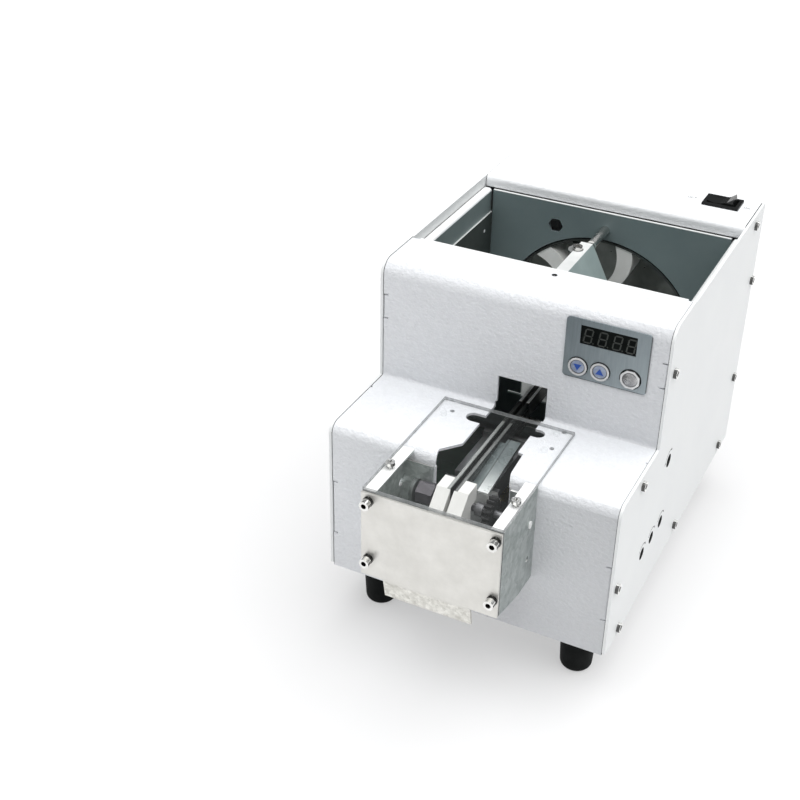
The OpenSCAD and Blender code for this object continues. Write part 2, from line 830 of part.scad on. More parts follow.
module cap_screw() {
    difference() {
        union() {
            rod_y(0, -washer_t - cap_h, -washer_t, 0, 5.3);
            rod_y(0, -washer_t - 1, plate_t + nose_t + 1, 0, screw_d);
        }
        translate([0, -washer_t - cap_h + 2.2, 0])
            rotate([90, 0, 0]) cylinder(h = 4, d = 2.9, $fn = 6);
    }
}

module spring_washer() {
    difference() {
        rod_y(0, -washer_t, 0, 0, 5.6);
        rod_y(0, -washer_t - 1, 1, 0, screw_d + 2 * hole_fit);
        box(-0.4, 0.4, -washer_t - 1, 1, 1, 5);
    }
}

module clear_screw() {
    difference() {
        union() {
            rod_z(0, 0, clear_t, clear_t + 1.7, 5);
            rod_z(0, 0, -4, clear_t + 1, 2.5);
        }
        box(-1.5, 1.5, -0.35, 0.35, clear_t + 0.9, clear_t + 3);
        box(-0.35, 0.35, -1.5, 1.5, clear_t + 0.9, clear_t + 3);
    }
}

// Cap screws with spring washers at the front plate, pan head screws in the clear cover.
module nose_screws() {
    color("silver") placed() {
        at_caps() cap_screw();
        at_caps() spring_washer();
        for (x = [nose_x0 + 3.4, nose_x1 - 3.4]) {
            translate([x, -20.4, nose_top]) clear_screw();
        }
    }
}

module acrylic_cover() {
    color("lightcyan", 0.4) placed() difference() {
        box(nose_x0, nose_x1, -nose_d, 50.8, nose_top, nose_top + clear_t);
        for (x = [nose_x0 + 3.4, nose_x1 - 3.4]) {
            rod_z(x, -20.4, nose_top - 1, nose_top + 5, 2.6);
        }
        rod_z(mid_x - 30.5, 36.5, nose_top - 1, nose_top + 5, 3.2);
        rod_z(mid_x + 29.8, 46.5, nose_top - 1, nose_top + 5, 3.2);
        rod_z(mid_x + 29.8, 29.2, nose_top - 1, nose_top + 5, 3.2);
    }
}

// Sloping plate under the roller, with an upright ear that carries the roller's free end.
function chute_at(y) = chute_z + (y + 1.4) * chute_fall / chute_l;
module chute_plate() {
    y1 = -1.4 - chute_l;
    color("lightgray") placed() difference() {
        union() {
            along_x(nose_x0 + nose_t, nose_x1 - nose_t)
                polygon([[-1.4, chute_z], [y1, chute_at(y1)], [y1, chute_at(y1) - 1.2], [-1.4, chute_z - 1.2]]);
            along_x(ear_x, ear_x + ear_t)
                polygon([
                    [roll_y - ear_r, chute_at(roll_y - ear_r) - 0.6], [roll_y + ear_r, chute_at(roll_y + ear_r) - 0.6],
                    [roll_y + ear_r, roll_z], [roll_y - ear_r, roll_z]
                ]);
            rod_x(ear_x, ear_x + ear_t, roll_y, roll_z, 2 * ear_r);
        }
        rod_x(ear_x - 1, ear_x + ear_t + 1, roll_y, roll_z, roll_d + 2 * run_fit);
    }
}

module sensor_pair() {
    color("black") placed() {
        for (x = [mid_x - 21, mid_x + 13]) {
            box(x, x + 8, -nose_d, 10.5 - nose_d, step_h - 38, step_h - 26);
        }
    }
}

module roller_shaft() {
    color("silver") placed() union() {
        rod_x(ear_x - 0.8, nose_x1 + 0.6, roll_y, roll_z, roll_d);
        rod_x(mid_x + 9.6, mid_x + 13.6, roll_y, roll_z, 7);
        rod_x(mid_x - slit_w / 2 + 0.35, mid_x + slit_w / 2 - 0.35, roll_y, roll_z, 17);
    }
}

module roller_hub() {
    color("dimgray") placed() difference() {
        translate([hub_x, roll_y, roll_z]) rotate([0, 90, 0]) cylinder(h = hub_l, d = hub_d, $fn = 6);
        rod_x(hub_x - 1, hub_x + hub_l + 1, roll_y, roll_z, roll_d + 0.02);
    }
}

module roller_gear() {
    color("ivory") placed() difference() {
        translate([roll_gx, roll_y, roll_z])
            rotate([90, 0, 90]) linear_extrude(height = 4) gear_2d(roll_m, roll_n, -90 + 180 / roll_n);
        rod_x(roll_gx - 1, roll_gx + 5, roll_y, roll_z, roll_d + 0.02);
    }
}

module roller_pinion() {
    color("goldenrod") placed() union() {
        translate([roll_gx, roll_y, roll_z - roll_c])
            rotate([90, 0, 90]) linear_extrude(height = 4) gear_2d(roll_m, roll_n, 90);
        rod_x(roll_gx, roll_gx + 10, roll_y, roll_z - roll_c, 3);
    }
}

module roller_motor() {
    x0 = roll_gx + 4.5;
    color("silver") placed() difference() {
        union() {
            box(x0, x0 + 9, roll_y - 6, roll_y + 6, roll_z - roll_c - 5, roll_z - roll_c + 5);
            rod_x(x0 + 8, nose_x1 - nose_t, roll_y, roll_z - roll_c, 10);
        }
        rod_x(x0 - 1, roll_gx + 10.5, roll_y, roll_z - roll_c, 3 + 2 * run_fit);
    }
}

module panel_overlay() {
    x0 = panel_x - 22.45;
    x1 = panel_x + 22.45;
    z0 = panel_z - 17.25;
    z1 = panel_z + 17.25;
    y0 = step_d - lay_t;
    color("gray") placed() difference() {
        union() {
            box(x0 + 2, x1 - 2, y0, step_d, z0, z1);
            box(x0, x1, y0, step_d, z0 + 2, z1 - 2);
            for (x = [x0 + 2, x1 - 2]) {
                rod_y(x, y0, step_d, z0 + 2, 4);
                rod_y(x, y0, step_d, z1 - 2, 4);
            }
        }
        box(disp_x - 14.85, disp_x + 14.85, y0 - 1, step_d + 1, disp_z - 5.35, disp_z + 5.35);
        key_holes(y0 - 1, step_d + 1, move_gap);
    }
}

module display_module() {
    color("black") placed()
        box(disp_x - 14.8, disp_x + 14.8, step_d - 0.4, step_d + 8, disp_z - 5.3, disp_z + 5.3);
}

module control_board() {
    y0 = step_d + 8;
    color("darkgreen") placed() union() {
        box(panel_x - 24.6, panel_x + 25.4, y0, y0 + 1.6, panel_z - 20, panel_z + 18);
        for (x = [panel_x - 21.6, panel_x + 22.4]) {
            rod_y(x, step_d + sheet_t, y0 + 0.5, panel_z - 17, 5);
            rod_y(x, step_d + sheet_t, y0 + 0.5, panel_z + 10, 5);
        }
    }
}

module key_stem(x) {
    rod_y(x, step_d, step_d + 6.6, key_z, 4);
}

module round_key(x) {
    y0 = step_d - lay_t - key_out;
    difference() {
        rod_y(x, y0, step_d + 1.2, key_z, 2 * key_r);
        rod_y(x, y0 - 1, y0 + 0.35, key_z, 2 * key_r - 2);
    }
    key_stem(x);
}

module button_down() {
    color("silver") placed() round_key(key_x[0]);
}

module button_up() {
    color("silver") placed() round_key(key_x[1]);
}

module button_set() {
    y0 = step_d - lay_t - key_out;
    color("silver") placed() union() {
        difference() {
            translate([key_x[2], step_d + 1.2, key_z])
                rotate([90, 0, 0])
                    rotate([0, 0, 22.5]) cylinder(h = 1.2 + lay_t + key_out, r = set_r, $fn = 8);
            rod_y(key_x[2], y0 - 1, y0 + 0.35, key_z, 2 * set_r - 2.6);
        }
        key_stem(key_x[2]);
    }
}

module switch_body() {
    color("black") placed() difference() {
        union() {
            box(sw_x - 10.65, sw_x + 10.65, sw_y - 7.35, sw_y + 7.35, body_h, body_h + 1.5);
            box(sw_x - 9.55, sw_x + 9.55, sw_y - 6.35, sw_y + 6.35, body_h - 14, body_h + 0.5);
        }
        box(sw_x - 8.6, sw_x + 8.6, sw_y - 5.3, sw_y + 5.3, body_h - 4.8, body_h + 3);
        rod_y(sw_x, sw_y - 6, sw_y + 6, sw_z, 2 + 2 * run_fit);
    }
}

module switch_rocker() {
    color("black") placed() union() {
        translate([sw_x, 0, sw_z])
            rotate([0, -sw_tilt, 0])
                along_y(sw_y - 4.8, sw_y + 4.8)
                    polygon([
                        [-7.4, -1.5], [7.4, -1.5], [7.4, 4.2], [4, 2.6], [0, 2], [-4, 2.6], [-7.4, 4.2]
                    ]);
        rod_y(sw_x, sw_y - 5.9, sw_y + 5.9, sw_z, 2);
    }
}

module trimmer_unit() {
    color("royalblue") placed() difference() {
        union() {
            box(in_w - 13.6, in_w - 12, 42, 90, 23, 41);
            for (y = trim_y) {
                box(in_w - 12.5, in_w - 6, y - 4.7, y + 4.7, trim_z - 4.7, trim_z + 4.7);
            }
            rod_x(in_w - 12.5, in_w, 57.7, 26.5, 5);
            rod_x(in_w - 12.5, in_w, 73.8, 26.5, 5);
        }
        for (y = trim_y) {
            rod_x(in_w - 9.5, in_w - 5, y, trim_z, 3 + 2 * run_fit);
        }
    }
}

module knob(y) {
    difference() {
        union() {
            rod_x(in_w - 5.6, in_w - 0.5, y, trim_z, 6);
            rod_x(in_w - 9, in_w - 5, y, trim_z, 3);
        }
        box(in_w - 1.6, in_w + 1, y - 2.3, y + 2.3, trim_z - 0.5, trim_z + 0.5);
    }
}

module trimmer_knob_1() {
    color("white") placed() knob(trim_y[0]);
}

module trimmer_knob_2() {
    color("white") placed() knob(trim_y[1]);
}

module trimmer_knob_3() {
    color("white") placed() knob(trim_y[2]);
}

module gate_shaft() {
    color("silver") placed() difference() {
        union() {
            rod_x(mid_x - 3, in_w - 0.6, gate_y, gate_z, gate_d);
            box(mid_x - slit_w / 2 + move_gap, mid_x + slit_w / 2 - move_gap,
                gate_y - gate_l, gate_y, gate_z - 2.5, gate_z + 2.5);
        }
        box(in_w - 2, in_w + 1, gate_y - 2.4, gate_y + 2.4, gate_z - 0.6, gate_z + 0.6);
    }
}

module gate_bracket() {
    color("gray") placed() difference() {
        union() {
            box(20, 22.5, gate_y - 7, gate_y + 7, 1.5, gate_z + 6);
            box(in_w - 21.5, in_w - 19, gate_y - 7, gate_y + 7, 1.5, gate_z + 6);
            box(20, in_w - 19, gate_y - 7, gate_y + 7, 1.5, 4);
        }
        rod_x(10, 70, gate_y, gate_z, gate_d + 2 * run_fit);
    }
}

module main_board() {
    x = 9.5 - in_w;
    color("darkgreen") placed() union() {
        box(x, x + 48, 82, 150, 9.5, 11.1);
        for (k = [4, 44]) {
            rod_z(x + k, 86, 1.5, 10, 6);
            rod_z(x + k, 146, 1.5, 10, 6);
        }
        box(x + 6, x + 22, 96, 112, 11, 19);
        rod_z(x + 34, 100, 11, 24, 12);
        rod_z(x + 34, 116, 11, 24, 12);
        box(x + 10, x + 38, 132, 140, 11, 20);
    }
}

module power_jack() {
    color("dimgray") placed() difference() {
        union() {
            box(jack_x - 5, jack_x + 5, body_d - 15, body_d - sheet_t, jack_z - 6, jack_z + 6);
            rod_y(jack_x, body_d - 3, body_d + jack_out, jack_z, 8);
            rod_y(jack_x, body_d, body_d + jack_out, jack_z, 11);
        }
        difference() {
            rod_y(jack_x, body_d - 10, body_d + 4, jack_z, 5.5);
            rod_y(jack_x, body_d - 11, body_d - 0.5, jack_z, 2);
        }
    }
}

front_cover();
left_side_panel();
right_side_panel();
rear_cover();
base_plate();
rubber_feet();
foot_screws();
side_screws();
hopper_left_wall();
hopper_right_wall();
hopper_front_wall();
hopper_floor();
bulkhead();
deflector_shaft();
rail_deflector();
deflector_screw();
drum_shell();
drum_scoops();
drum_gear();
drum_shaft();
bearing_block();
drum_motor();
motor_pinion();
left_rail();
right_rail();
rail_bar();
guide_bar();
end_block_left();
end_block_right();
vibration_motor();
vibration_weight();
rail_stand();
nose_left_plate();
nose_right_plate();
nose_front_plate();
nose_screws();
acrylic_cover();
chute_plate();
sensor_pair();
roller_shaft();
roller_hub();
roller_gear();
roller_motor();
roller_pinion();
panel_overlay();
display_module();
control_board();
button_down();
button_up();
button_set();
switch_body();
switch_rocker();
trimmer_unit();
trimmer_knob_1();
trimmer_knob_2();
trimmer_knob_3();
gate_shaft();
gate_bracket();
main_board();
power_jack();
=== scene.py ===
import json
import math
from collections import namedtuple
from functools import reduce

import bmesh
import bpy
from mathutils import Matrix, Vector


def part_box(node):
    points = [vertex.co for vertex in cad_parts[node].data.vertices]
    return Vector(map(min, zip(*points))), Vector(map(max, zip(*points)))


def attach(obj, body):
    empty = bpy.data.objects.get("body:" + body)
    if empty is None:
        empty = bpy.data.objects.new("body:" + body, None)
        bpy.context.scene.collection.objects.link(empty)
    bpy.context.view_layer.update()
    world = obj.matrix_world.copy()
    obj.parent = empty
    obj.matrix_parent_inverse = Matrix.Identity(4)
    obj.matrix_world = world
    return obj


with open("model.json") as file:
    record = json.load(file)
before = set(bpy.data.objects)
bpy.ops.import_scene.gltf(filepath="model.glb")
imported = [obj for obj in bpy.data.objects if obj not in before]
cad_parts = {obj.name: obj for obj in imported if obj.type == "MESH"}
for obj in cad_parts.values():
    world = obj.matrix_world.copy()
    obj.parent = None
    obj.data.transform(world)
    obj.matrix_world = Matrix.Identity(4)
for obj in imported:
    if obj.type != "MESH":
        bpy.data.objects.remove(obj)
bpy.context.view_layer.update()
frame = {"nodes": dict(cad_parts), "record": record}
NODES = frame["nodes"]

# The machine's own axes in millimetres: X right, Y back from the lower front face, Z up from the base.
MM = 1000.0
COVER_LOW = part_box("front_cover")[0]
ORIGIN = (0.0, round(COVER_LOW[1] * MM, 3), round(COVER_LOW[2] * MM, 3))
X = Vector((1, 0, 0))
Y = Vector((0, 1, 0))
Z = Vector((0, 0, 1))


def y_at(y):
    """Y in the frame, in metres, of a Y on the machine's axes."""
    return (y + ORIGIN[1]) / MM


def z_at(z):
    """Z in the frame, in metres, of a Z on the machine's axes."""
    return (z + ORIGIN[2]) / MM


def place(x, y, z):
    """Place in the frame, in metres, of a point on the machine's axes."""
    return Vector((x / MM, y_at(y), z_at(z)))


def box_mm(node):
    """Lowest and highest corners of a node on the machine's axes."""
    return [[round(value * MM - start, 3) for value, start in zip(corner, ORIGIN)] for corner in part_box(node)]


def middle(node):
    """Middle of a node on the machine's axes, to a hundredth, because round pieces have flat facets."""
    return [round((low + high) / 2, 2) for low, high in zip(*box_mm(node))]


# Sizes of the machine, read from the frame.
IN_W, _, BODY_H = box_mm("front_cover")[1]
HALF_W = box_mm("right_side_panel")[1][0]
SHEET_T = HALF_W - IN_W
STEP_H = box_mm("acrylic_cover")[0][2]
STEP_D = box_mm("panel_overlay")[1][1]
WALL_Y = box_mm("bulkhead")[0][1]
NOSE_Y = box_mm("nose_left_plate")[0][1]
NOSE_TOP = box_mm("nose_left_plate")[1][2]
NOSE_RIGHT = box_mm("nose_right_plate")[1][0]
SLIT_LEFT = box_mm("left_rail")[1][0]
SLIT_RIGHT = box_mm("right_rail")[0][0]
MID_X = (SLIT_LEFT + SLIT_RIGHT) / 2
KEY_Y = box_mm("button_down")[0][1]
TRIM_Y = [middle(f"trimmer_knob_{number}")[1] for number in (1, 2, 3)]
TRIM_Z = middle("trimmer_knob_1")[2]
GATE_Y = middle("gate_bracket")[1]
GATE_Z = middle("gate_shaft")[2]

# Radii of the holes in the right panel and in the top, and the place of the hole in the top.
TRIM_R = 3.5
GATE_R = 3.75
TOP_HOLE_R = 1.25
TOP_HOLE = (6.5, 86.5, BODY_H)

# Shader values that several finishes share. A face looks along an axis when that part of its normal is large.
ONE = (1, 1, 1)
SHADE = (0.03, 0.032, 0.031)
FACING = 0.7
UPWARD = 0.72
UPWARD_SOFT = 0.1
Grain = namedtuple("Grain", "scale strength depth stretch", defaults=(ONE,))

# Sockets of the Mix node when it mixes colours.
MIX_SHARE, MIX_A, MIX_B, MIX_RESULT = 0, 6, 7, 2


class Look:
    """One procedural material: a Principled shader with its coordinates, and helpers that add nodes."""

    def __init__(self, name):
        self.material = bpy.data.materials.new(name)
        self.material.use_nodes = True
        self.tree = self.material.node_tree
        self.tree.nodes.clear()
        output = self.node("OutputMaterial")
        self.shader = self.node("BsdfPrincipled")
        self.feed(output.inputs["Surface"], self.shader.outputs["BSDF"])
        self.coords = self.node("TexCoord")

    def node(self, kind):
        return self.tree.nodes.new("ShaderNode" + kind)

    def feed(self, socket, value):
        """Give a socket a plain number, a colour, or the output of another node."""
        if isinstance(value, (int, float)):
            socket.default_value = value
        elif isinstance(value, tuple):
            socket.default_value = (*value, 1.0)
        else:
            self.tree.links.new(value, socket)

    def put(self, name, value):
        """Give an input of the shader its value."""
        self.feed(self.shader.inputs[name], value)

    def math(self, operation, a, b=None):
        step = self.node("Math")
        step.operation = operation
        self.feed(step.inputs[0], a)
        if b is not None:
            self.feed(step.inputs[1], b)
        return step.outputs[0]

    def more(self, a, b):
        return self.math("GREATER_THAN", a, b)

    def less(self, a, b):
        return self.math("LESS_THAN", a, b)

    def plus(self, *values):
        return reduce(lambda a, b: self.math("ADD", a, b), values)

    def times(self, *values):
        return reduce(lambda a, b: self.math("MULTIPLY", a, b), values)

    def most(self, *values):
        return reduce(lambda a, b: self.math("MAXIMUM", a, b), values)

    def size(self, value):
        """Value without its sign."""
        return self.math("ABSOLUTE", value)

    def off(self, value, target):
        """Distance of a value from a target."""
        return self.size(self.math("SUBTRACT", value, target))

    def coordinate(self, source, axis):
        split = self.node("SeparateXYZ")
        self.feed(split.inputs["Vector"], self.coords.outputs[source])
        return split.outputs[axis]

    def along(self, axis):
        """Place of the surface along the axis X, Y or Z, in metres."""
        return self.coordinate("Object", axis)

    def facing(self, axis):
        """Part of the surface's normal along the axis X, Y or Z."""
        return self.coordinate("Normal", axis)

    def near(self, points, reach):
        """1 within reach of any of the points, else 0."""
        hits = []
        for point in points:
            gap = self.node("VectorMath")
            gap.operation = "DISTANCE"
            self.feed(gap.inputs[0], self.coords.outputs["Object"])
            gap.inputs[1].default_value = point
            hits.append(self.less(gap.outputs["Value"], reach))
        return self.most(*hits)

    def noise(self, scale, detail=3.0, rough=0.6, stretch=ONE):
        mapping = self.node("Mapping")
        mapping.inputs["Scale"].default_value = stretch
        self.feed(mapping.inputs["Vector"], self.coords.outputs["Object"])
        cloud = self.node("TexNoise")
        self.feed(cloud.inputs["Scale"], scale)
        self.feed(cloud.inputs["Detail"], detail)
        self.feed(cloud.inputs["Roughness"], rough)
        self.feed(cloud.inputs["Vector"], mapping.outputs["Vector"])
        return cloud.outputs["Fac"]

    def spangle(self, scale):
        """A chance value for each cell of a Voronoi pattern."""
        cells = self.node("TexVoronoi")
        self.feed(cells.inputs["Scale"], scale)
        self.feed(cells.inputs["Vector"], self.coords.outputs["Object"])
        split = self.node("SeparateColor")
        self.feed(split.inputs["Color"], cells.outputs["Color"])
        return split.outputs[0]

    def span(self, value, low, high, start=0.25, end=0.75):
        """Number that runs from low to high while the value runs from start to end."""
        run = self.node("MapRange")
        self.feed(run.inputs["From Min"], start)
        self.feed(run.inputs["From Max"], end)
        self.feed(run.inputs["To Min"], low)
        self.feed(run.inputs["To Max"], high)
        self.feed(run.inputs["Value"], value)
        return run.outputs["Result"]

    def tones(self, value, low, high, start=0.3, end=0.7):
        """Colour that runs from low to high while the value runs from start to end."""
        run = self.node("ValToRGB")
        first, last = run.color_ramp.elements
        first.position = start
        first.color = (*low, 1.0)
        last.position = end
        last.color = (*high, 1.0)
        self.feed(run.inputs["Fac"], value)
        return run.outputs["Color"]

    def blend(self, share, a, b):
        """Colour a where the share is 0, colour b where it is 1."""
        mix = self.node("Mix")
        mix.data_type = "RGBA"
        self.feed(mix.inputs[MIX_SHARE], share)
        self.feed(mix.inputs[MIX_A], a)
        self.feed(mix.inputs[MIX_B], b)
        return mix.outputs[MIX_RESULT]

    def relief(self, grain, detail=3.0, rough=0.6):
        """Fine grain on the surface."""
        bump = self.node("Bump")
        self.feed(bump.inputs["Strength"], grain.strength)
        self.feed(bump.inputs["Distance"], grain.depth)
        self.feed(bump.inputs["Height"], self.noise(grain.scale, detail, rough, grain.stretch))
        self.put("Normal", bump.outputs["Normal"])


# Kinds of finish that several pieces share. From here on, sizes are millimetres on the machine's axes, shares
# of shade run from 0 to 1, and the depth of a grain is in metres.
ROUGH_SCALE = 2.3
COAT_ROUGH = 0.12


def surface(name, low, high, rough, scale, grain, metal=0.0, stretch=ONE, spec=0.5, coat=0.0, shade=None):
    """Colour drifts between low and high, and roughness between two values, over a fine grain.

    shade may give a function that makes the share of painted shade, as in seams and hole walls.
    """
    look = Look(name)
    colour = look.tones(look.noise(scale, 4.0, stretch=stretch), low, high)
    if shade:
        colour = look.blend(shade(look), colour, SHADE)
    look.put("Base Color", colour)
    look.put("Roughness", look.span(look.noise(scale * ROUGH_SCALE, stretch=stretch), *rough))
    look.put("Metallic", metal)
    look.put("Specular IOR Level", spec)
    if coat:
        look.put("Coat Weight", coat)
        look.put("Coat Roughness", COAT_ROUGH)
    look.relief(grain)
    look.material.diffuse_color = (*high, 1.0)
    return look.material


SPANGLE_SHARE = 0.25
SHEET_GRAIN = Grain(1700.0, 0.14, 0.00003)


def zoned(name, low, high, axis, edge, rough, metal, soft=0.0001, scale=26, facing=False, cells=0.0,
          shade=None):
    """Tones low below an edge along an axis and high above it, by place in metres or by where a face looks.

    low and high are each two colours to drift between. metal is one value, or two for low and high.
    cells breaks low up into spangles, and shade makes the share of painted shade as in surface.
    """
    look = Look(name)
    value = look.facing(axis) if facing else look.along(axis)
    above = look.span(value, 0.0, 1.0, edge - soft, edge + soft)
    drift = look.noise(scale, 4.0)
    if cells:
        drift = look.times(drift, 1.0 - SPANGLE_SHARE)
        drift = look.plus(drift, look.times(look.spangle(cells), SPANGLE_SHARE))
    colour = look.blend(above, look.tones(drift, *low), look.tones(look.noise(120, 3.0, 0.55), *high))
    if shade:
        colour = look.blend(shade(look), colour, SHADE)
    look.put("Base Color", colour)
    look.put("Roughness", look.span(look.noise(90), *rough))
    if isinstance(metal, tuple):
        look.put("Metallic", look.span(above, *metal, 0.0, 1.0))
    else:
        look.put("Metallic", metal)
    look.relief(SHEET_GRAIN)
    look.material.diffuse_color = (*low[1], 1.0)
    return look.material


# Housing: painted sheets, feet, and painted shade in their seams and holes.
COVER_SEAM = 0.35
WALL_SEAM = 0.45
HOLE_EDGE = 0.3
WALL_EDGE = 0.05
FRONT_FACING = -0.6
FALL_FROM = -10.0
FALLOFF_SHADE_SHARE = 0.12
STEP_BEND = 6.0


def side_seam(width):
    """Shade for the outer edges of a sheet, where it meets the side panels."""
    return lambda look: look.more(look.size(look.along("X")), (IN_W - width) / MM)


def cover_shade(look):
    """Painted shade: seams, the top hole's wall, and a front greyer to its right and below its step."""
    hole = look.near([place(*TOP_HOLE)], (TOP_HOLE_R + HOLE_EDGE) / MM)
    # Painted shade for the fall of light: the front greys to its right, twice as much below the step.
    fall = look.span(look.along("X"), 0.0, FALLOFF_SHADE_SHARE, FALL_FROM / MM, HALF_W / MM)
    below = look.less(look.along("Z"), z_at(STEP_H - STEP_BEND))
    ahead = look.less(look.facing("Y"), FRONT_FACING)
    grey = look.times(ahead, fall, look.plus(below, 1.0))
    return look.most(side_seam(COVER_SEAM)(look), hole, grey)


def panel_shade(look):
    """Painted shade on the walls of the round holes in the right side panel."""
    shares = []
    for radius, holes in ((TRIM_R, [(y, TRIM_Z) for y in TRIM_Y]), (GATE_R, [(GATE_Y, GATE_Z)])):
        reach = math.hypot(radius, SHEET_T / 2) + WALL_EDGE
        shares.append(look.near([place(HALF_W - SHEET_T / 2, y, z) for y, z in holes], reach / MM))
    return look.most(*shares)


LOOKS = {}
LOOKS["textured_white"] = surface(
    "powder_coat", (0.725, 0.74, 0.765), (0.775, 0.79, 0.815), rough=(0.42, 0.55), scale=420,
    grain=Grain(500.0, 0.9, 0.0008, (1.0, 1.0, 1.25)), spec=0.4, shade=cover_shade)
# The rear cover wears a brighter copy of the front's powder coat: painted light on its shaded lip.
LOOKS["rear_white"] = surface(
    "rear_powder_coat", (0.88, 0.895, 0.915), (0.92, 0.935, 0.95), rough=(0.42, 0.55), scale=420,
    grain=Grain(500.0, 0.9, 0.0004, (1.0, 1.0, 1.25)), spec=0.4, shade=side_seam(COVER_SEAM))
LOOKS["smooth_white"] = surface(
    "smooth_white_paint", (0.775, 0.79, 0.795), (0.80, 0.815, 0.815), rough=(0.38, 0.46), scale=22,
    grain=Grain(2200.0, 0.12, 0.00004), spec=0.4, shade=panel_shade)
LOOKS["black_rubber"] = surface(
    "black_rubber", (0.005, 0.006, 0.006), (0.011, 0.012, 0.012), rough=(0.50, 0.66), scale=150,
    grain=Grain(2600.0, 0.3, 0.00004), spec=0.06)

# Metals and plastics of the works.
LOOKS["zinc_sheet"] = surface(
    "zinc_plate", (0.50, 0.51, 0.52), (0.66, 0.67, 0.67), rough=(0.30, 0.46), scale=120,
    grain=Grain(1400.0, 0.2, 0.00003), metal=1.0)
LOOKS["bright_steel"] = surface(
    "bright_plate", (0.55, 0.54, 0.52), (0.74, 0.73, 0.71), rough=(0.16, 0.30), scale=240,
    grain=Grain(3000.0, 0.12, 0.00002), metal=1.0)
LOOKS["white_pom"] = surface(
    "white_acetal", (0.67, 0.675, 0.65), (0.73, 0.73, 0.71), rough=(0.36, 0.48), scale=90,
    grain=Grain(1900.0, 0.12, 0.00003, (1.0, 0.2, 1.0)), spec=0.45)
LOOKS["zinc_cast"] = surface(
    "milled_alloy", (0.46, 0.47, 0.48), (0.58, 0.59, 0.60), rough=(0.28, 0.42), scale=110,
    grain=Grain(1500.0, 0.15, 0.00003, (1.0, 0.2, 1.0)), metal=1.0)
LOOKS["motor_can"] = surface(
    "motor_can", (0.44, 0.44, 0.46), (0.56, 0.56, 0.57), rough=(0.24, 0.38), scale=110,
    grain=Grain(1500.0, 0.12, 0.00003), metal=1.0)
LOOKS["pinion_brass"] = surface(
    "brass", (0.62, 0.44, 0.17), (0.74, 0.56, 0.26), rough=(0.22, 0.36), scale=180,
    grain=Grain(1800.0, 0.12, 0.00003), metal=1.0)
LOOKS["black_plastic"] = surface(
    "black_plastic", (0.006, 0.0065, 0.0065), (0.013, 0.014, 0.014), rough=(0.34, 0.48), scale=120,
    grain=Grain(2400.0, 0.3, 0.00003), spec=0.18)
LOOKS["hub_dark"] = surface(
    "dark_hub", (0.050, 0.047, 0.053), (0.085, 0.080, 0.090), rough=(0.30, 0.45), scale=130,
    grain=Grain(1800.0, 0.15, 0.00003), metal=0.3)
LOOKS["gear_black"] = surface(
    "gear_black", (0.018, 0.018, 0.019), (0.035, 0.035, 0.036), rough=(0.50, 0.62), scale=180,
    grain=Grain(1500.0, 0.2, 0.00003), spec=0.2)
LOOKS["dull_zinc"] = surface(
    "dull_zinc", (0.085, 0.095, 0.092), (0.15, 0.165, 0.16), rough=(0.40, 0.55), scale=180,
    grain=Grain(1500.0, 0.2, 0.00003), metal=0.4, spec=0.3)
LOOKS["board_green"] = surface(
    "solder_mask", (0.015, 0.12, 0.05), (0.03, 0.17, 0.08), rough=(0.28, 0.42), scale=160,
    grain=Grain(1600.0, 0.2, 0.00003))
LOOKS["trimmer_blue"] = surface(
    "trimmer_blue", (0.02, 0.07, 0.32), (0.03, 0.10, 0.42), rough=(0.32, 0.46), scale=150,
    grain=Grain(1900.0, 0.15, 0.00003))
# The trimmer knobs are dark grey as painted shade, so that their holes read dark.
LOOKS["trimmer_white"] = surface(
    "trimmer_painted_shade", (0.030, 0.034, 0.034), (0.055, 0.060, 0.060), rough=(0.34, 0.48), scale=150,
    grain=Grain(1900.0, 0.15, 0.00003))

# The roller's shaft is dark inside the nose, as painted shade, and bright where it ends in the right plate.
SHAFT_END = 0.2
LOOKS["shaded_shaft"] = zoned(
    "shaded_shaft", ((0.13, 0.132, 0.14), (0.22, 0.222, 0.23)), ((0.80, 0.81, 0.80), (0.92, 0.93, 0.92)),
    axis="X", edge=(NOSE_RIGHT - SHAFT_END) / MM, rough=(0.30, 0.42), metal=(0.6, 0.2), scale=180)

# Drum shell and scoops.
RIM_EDGE = 1.3
RIM_SHARE = 0.45


def rim_shade(look):
    """Painted shade on the front edge of the drum's rim, right behind the bulkhead."""
    return look.times(look.less(look.along("Y"), y_at(WALL_Y + RIM_EDGE)), RIM_SHARE)


LOOKS["drum_steel"] = surface(
    "drum_steel", (0.15, 0.163, 0.155), (0.22, 0.235, 0.225), rough=(0.26, 0.40), scale=70,
    grain=Grain(1500.0, 0.18, 0.00003, (1.0, 0.15, 1.0)), metal=0.9, stretch=(1.0, 0.3, 1.0), shade=rim_shade)
# The scoops' pale alloy is made near white, as painted light, since little light reaches into the drum.
LOOKS["scoop_cast"] = surface(
    "scoop_alloy", (0.89, 0.90, 0.875), (0.96, 0.97, 0.95), rough=(0.26, 0.38), scale=80,
    grain=Grain(1700.0, 0.2, 0.00003, (1.0, 0.12, 1.0)), metal=0.1, stretch=(1.0, 0.35, 1.0))

# Rails and guide bar.
SLIT_EDGE = 0.45
COVERED_FROM = STEP_D - 6.0
PAINTED_LIGHT_FROM = STEP_D + 17.0
RIGHT_SHARE = 0.45
RAIL_SHADE_SHARE = 0.92
RAIL_STRETCH = (3.0, 0.4, 3.0)


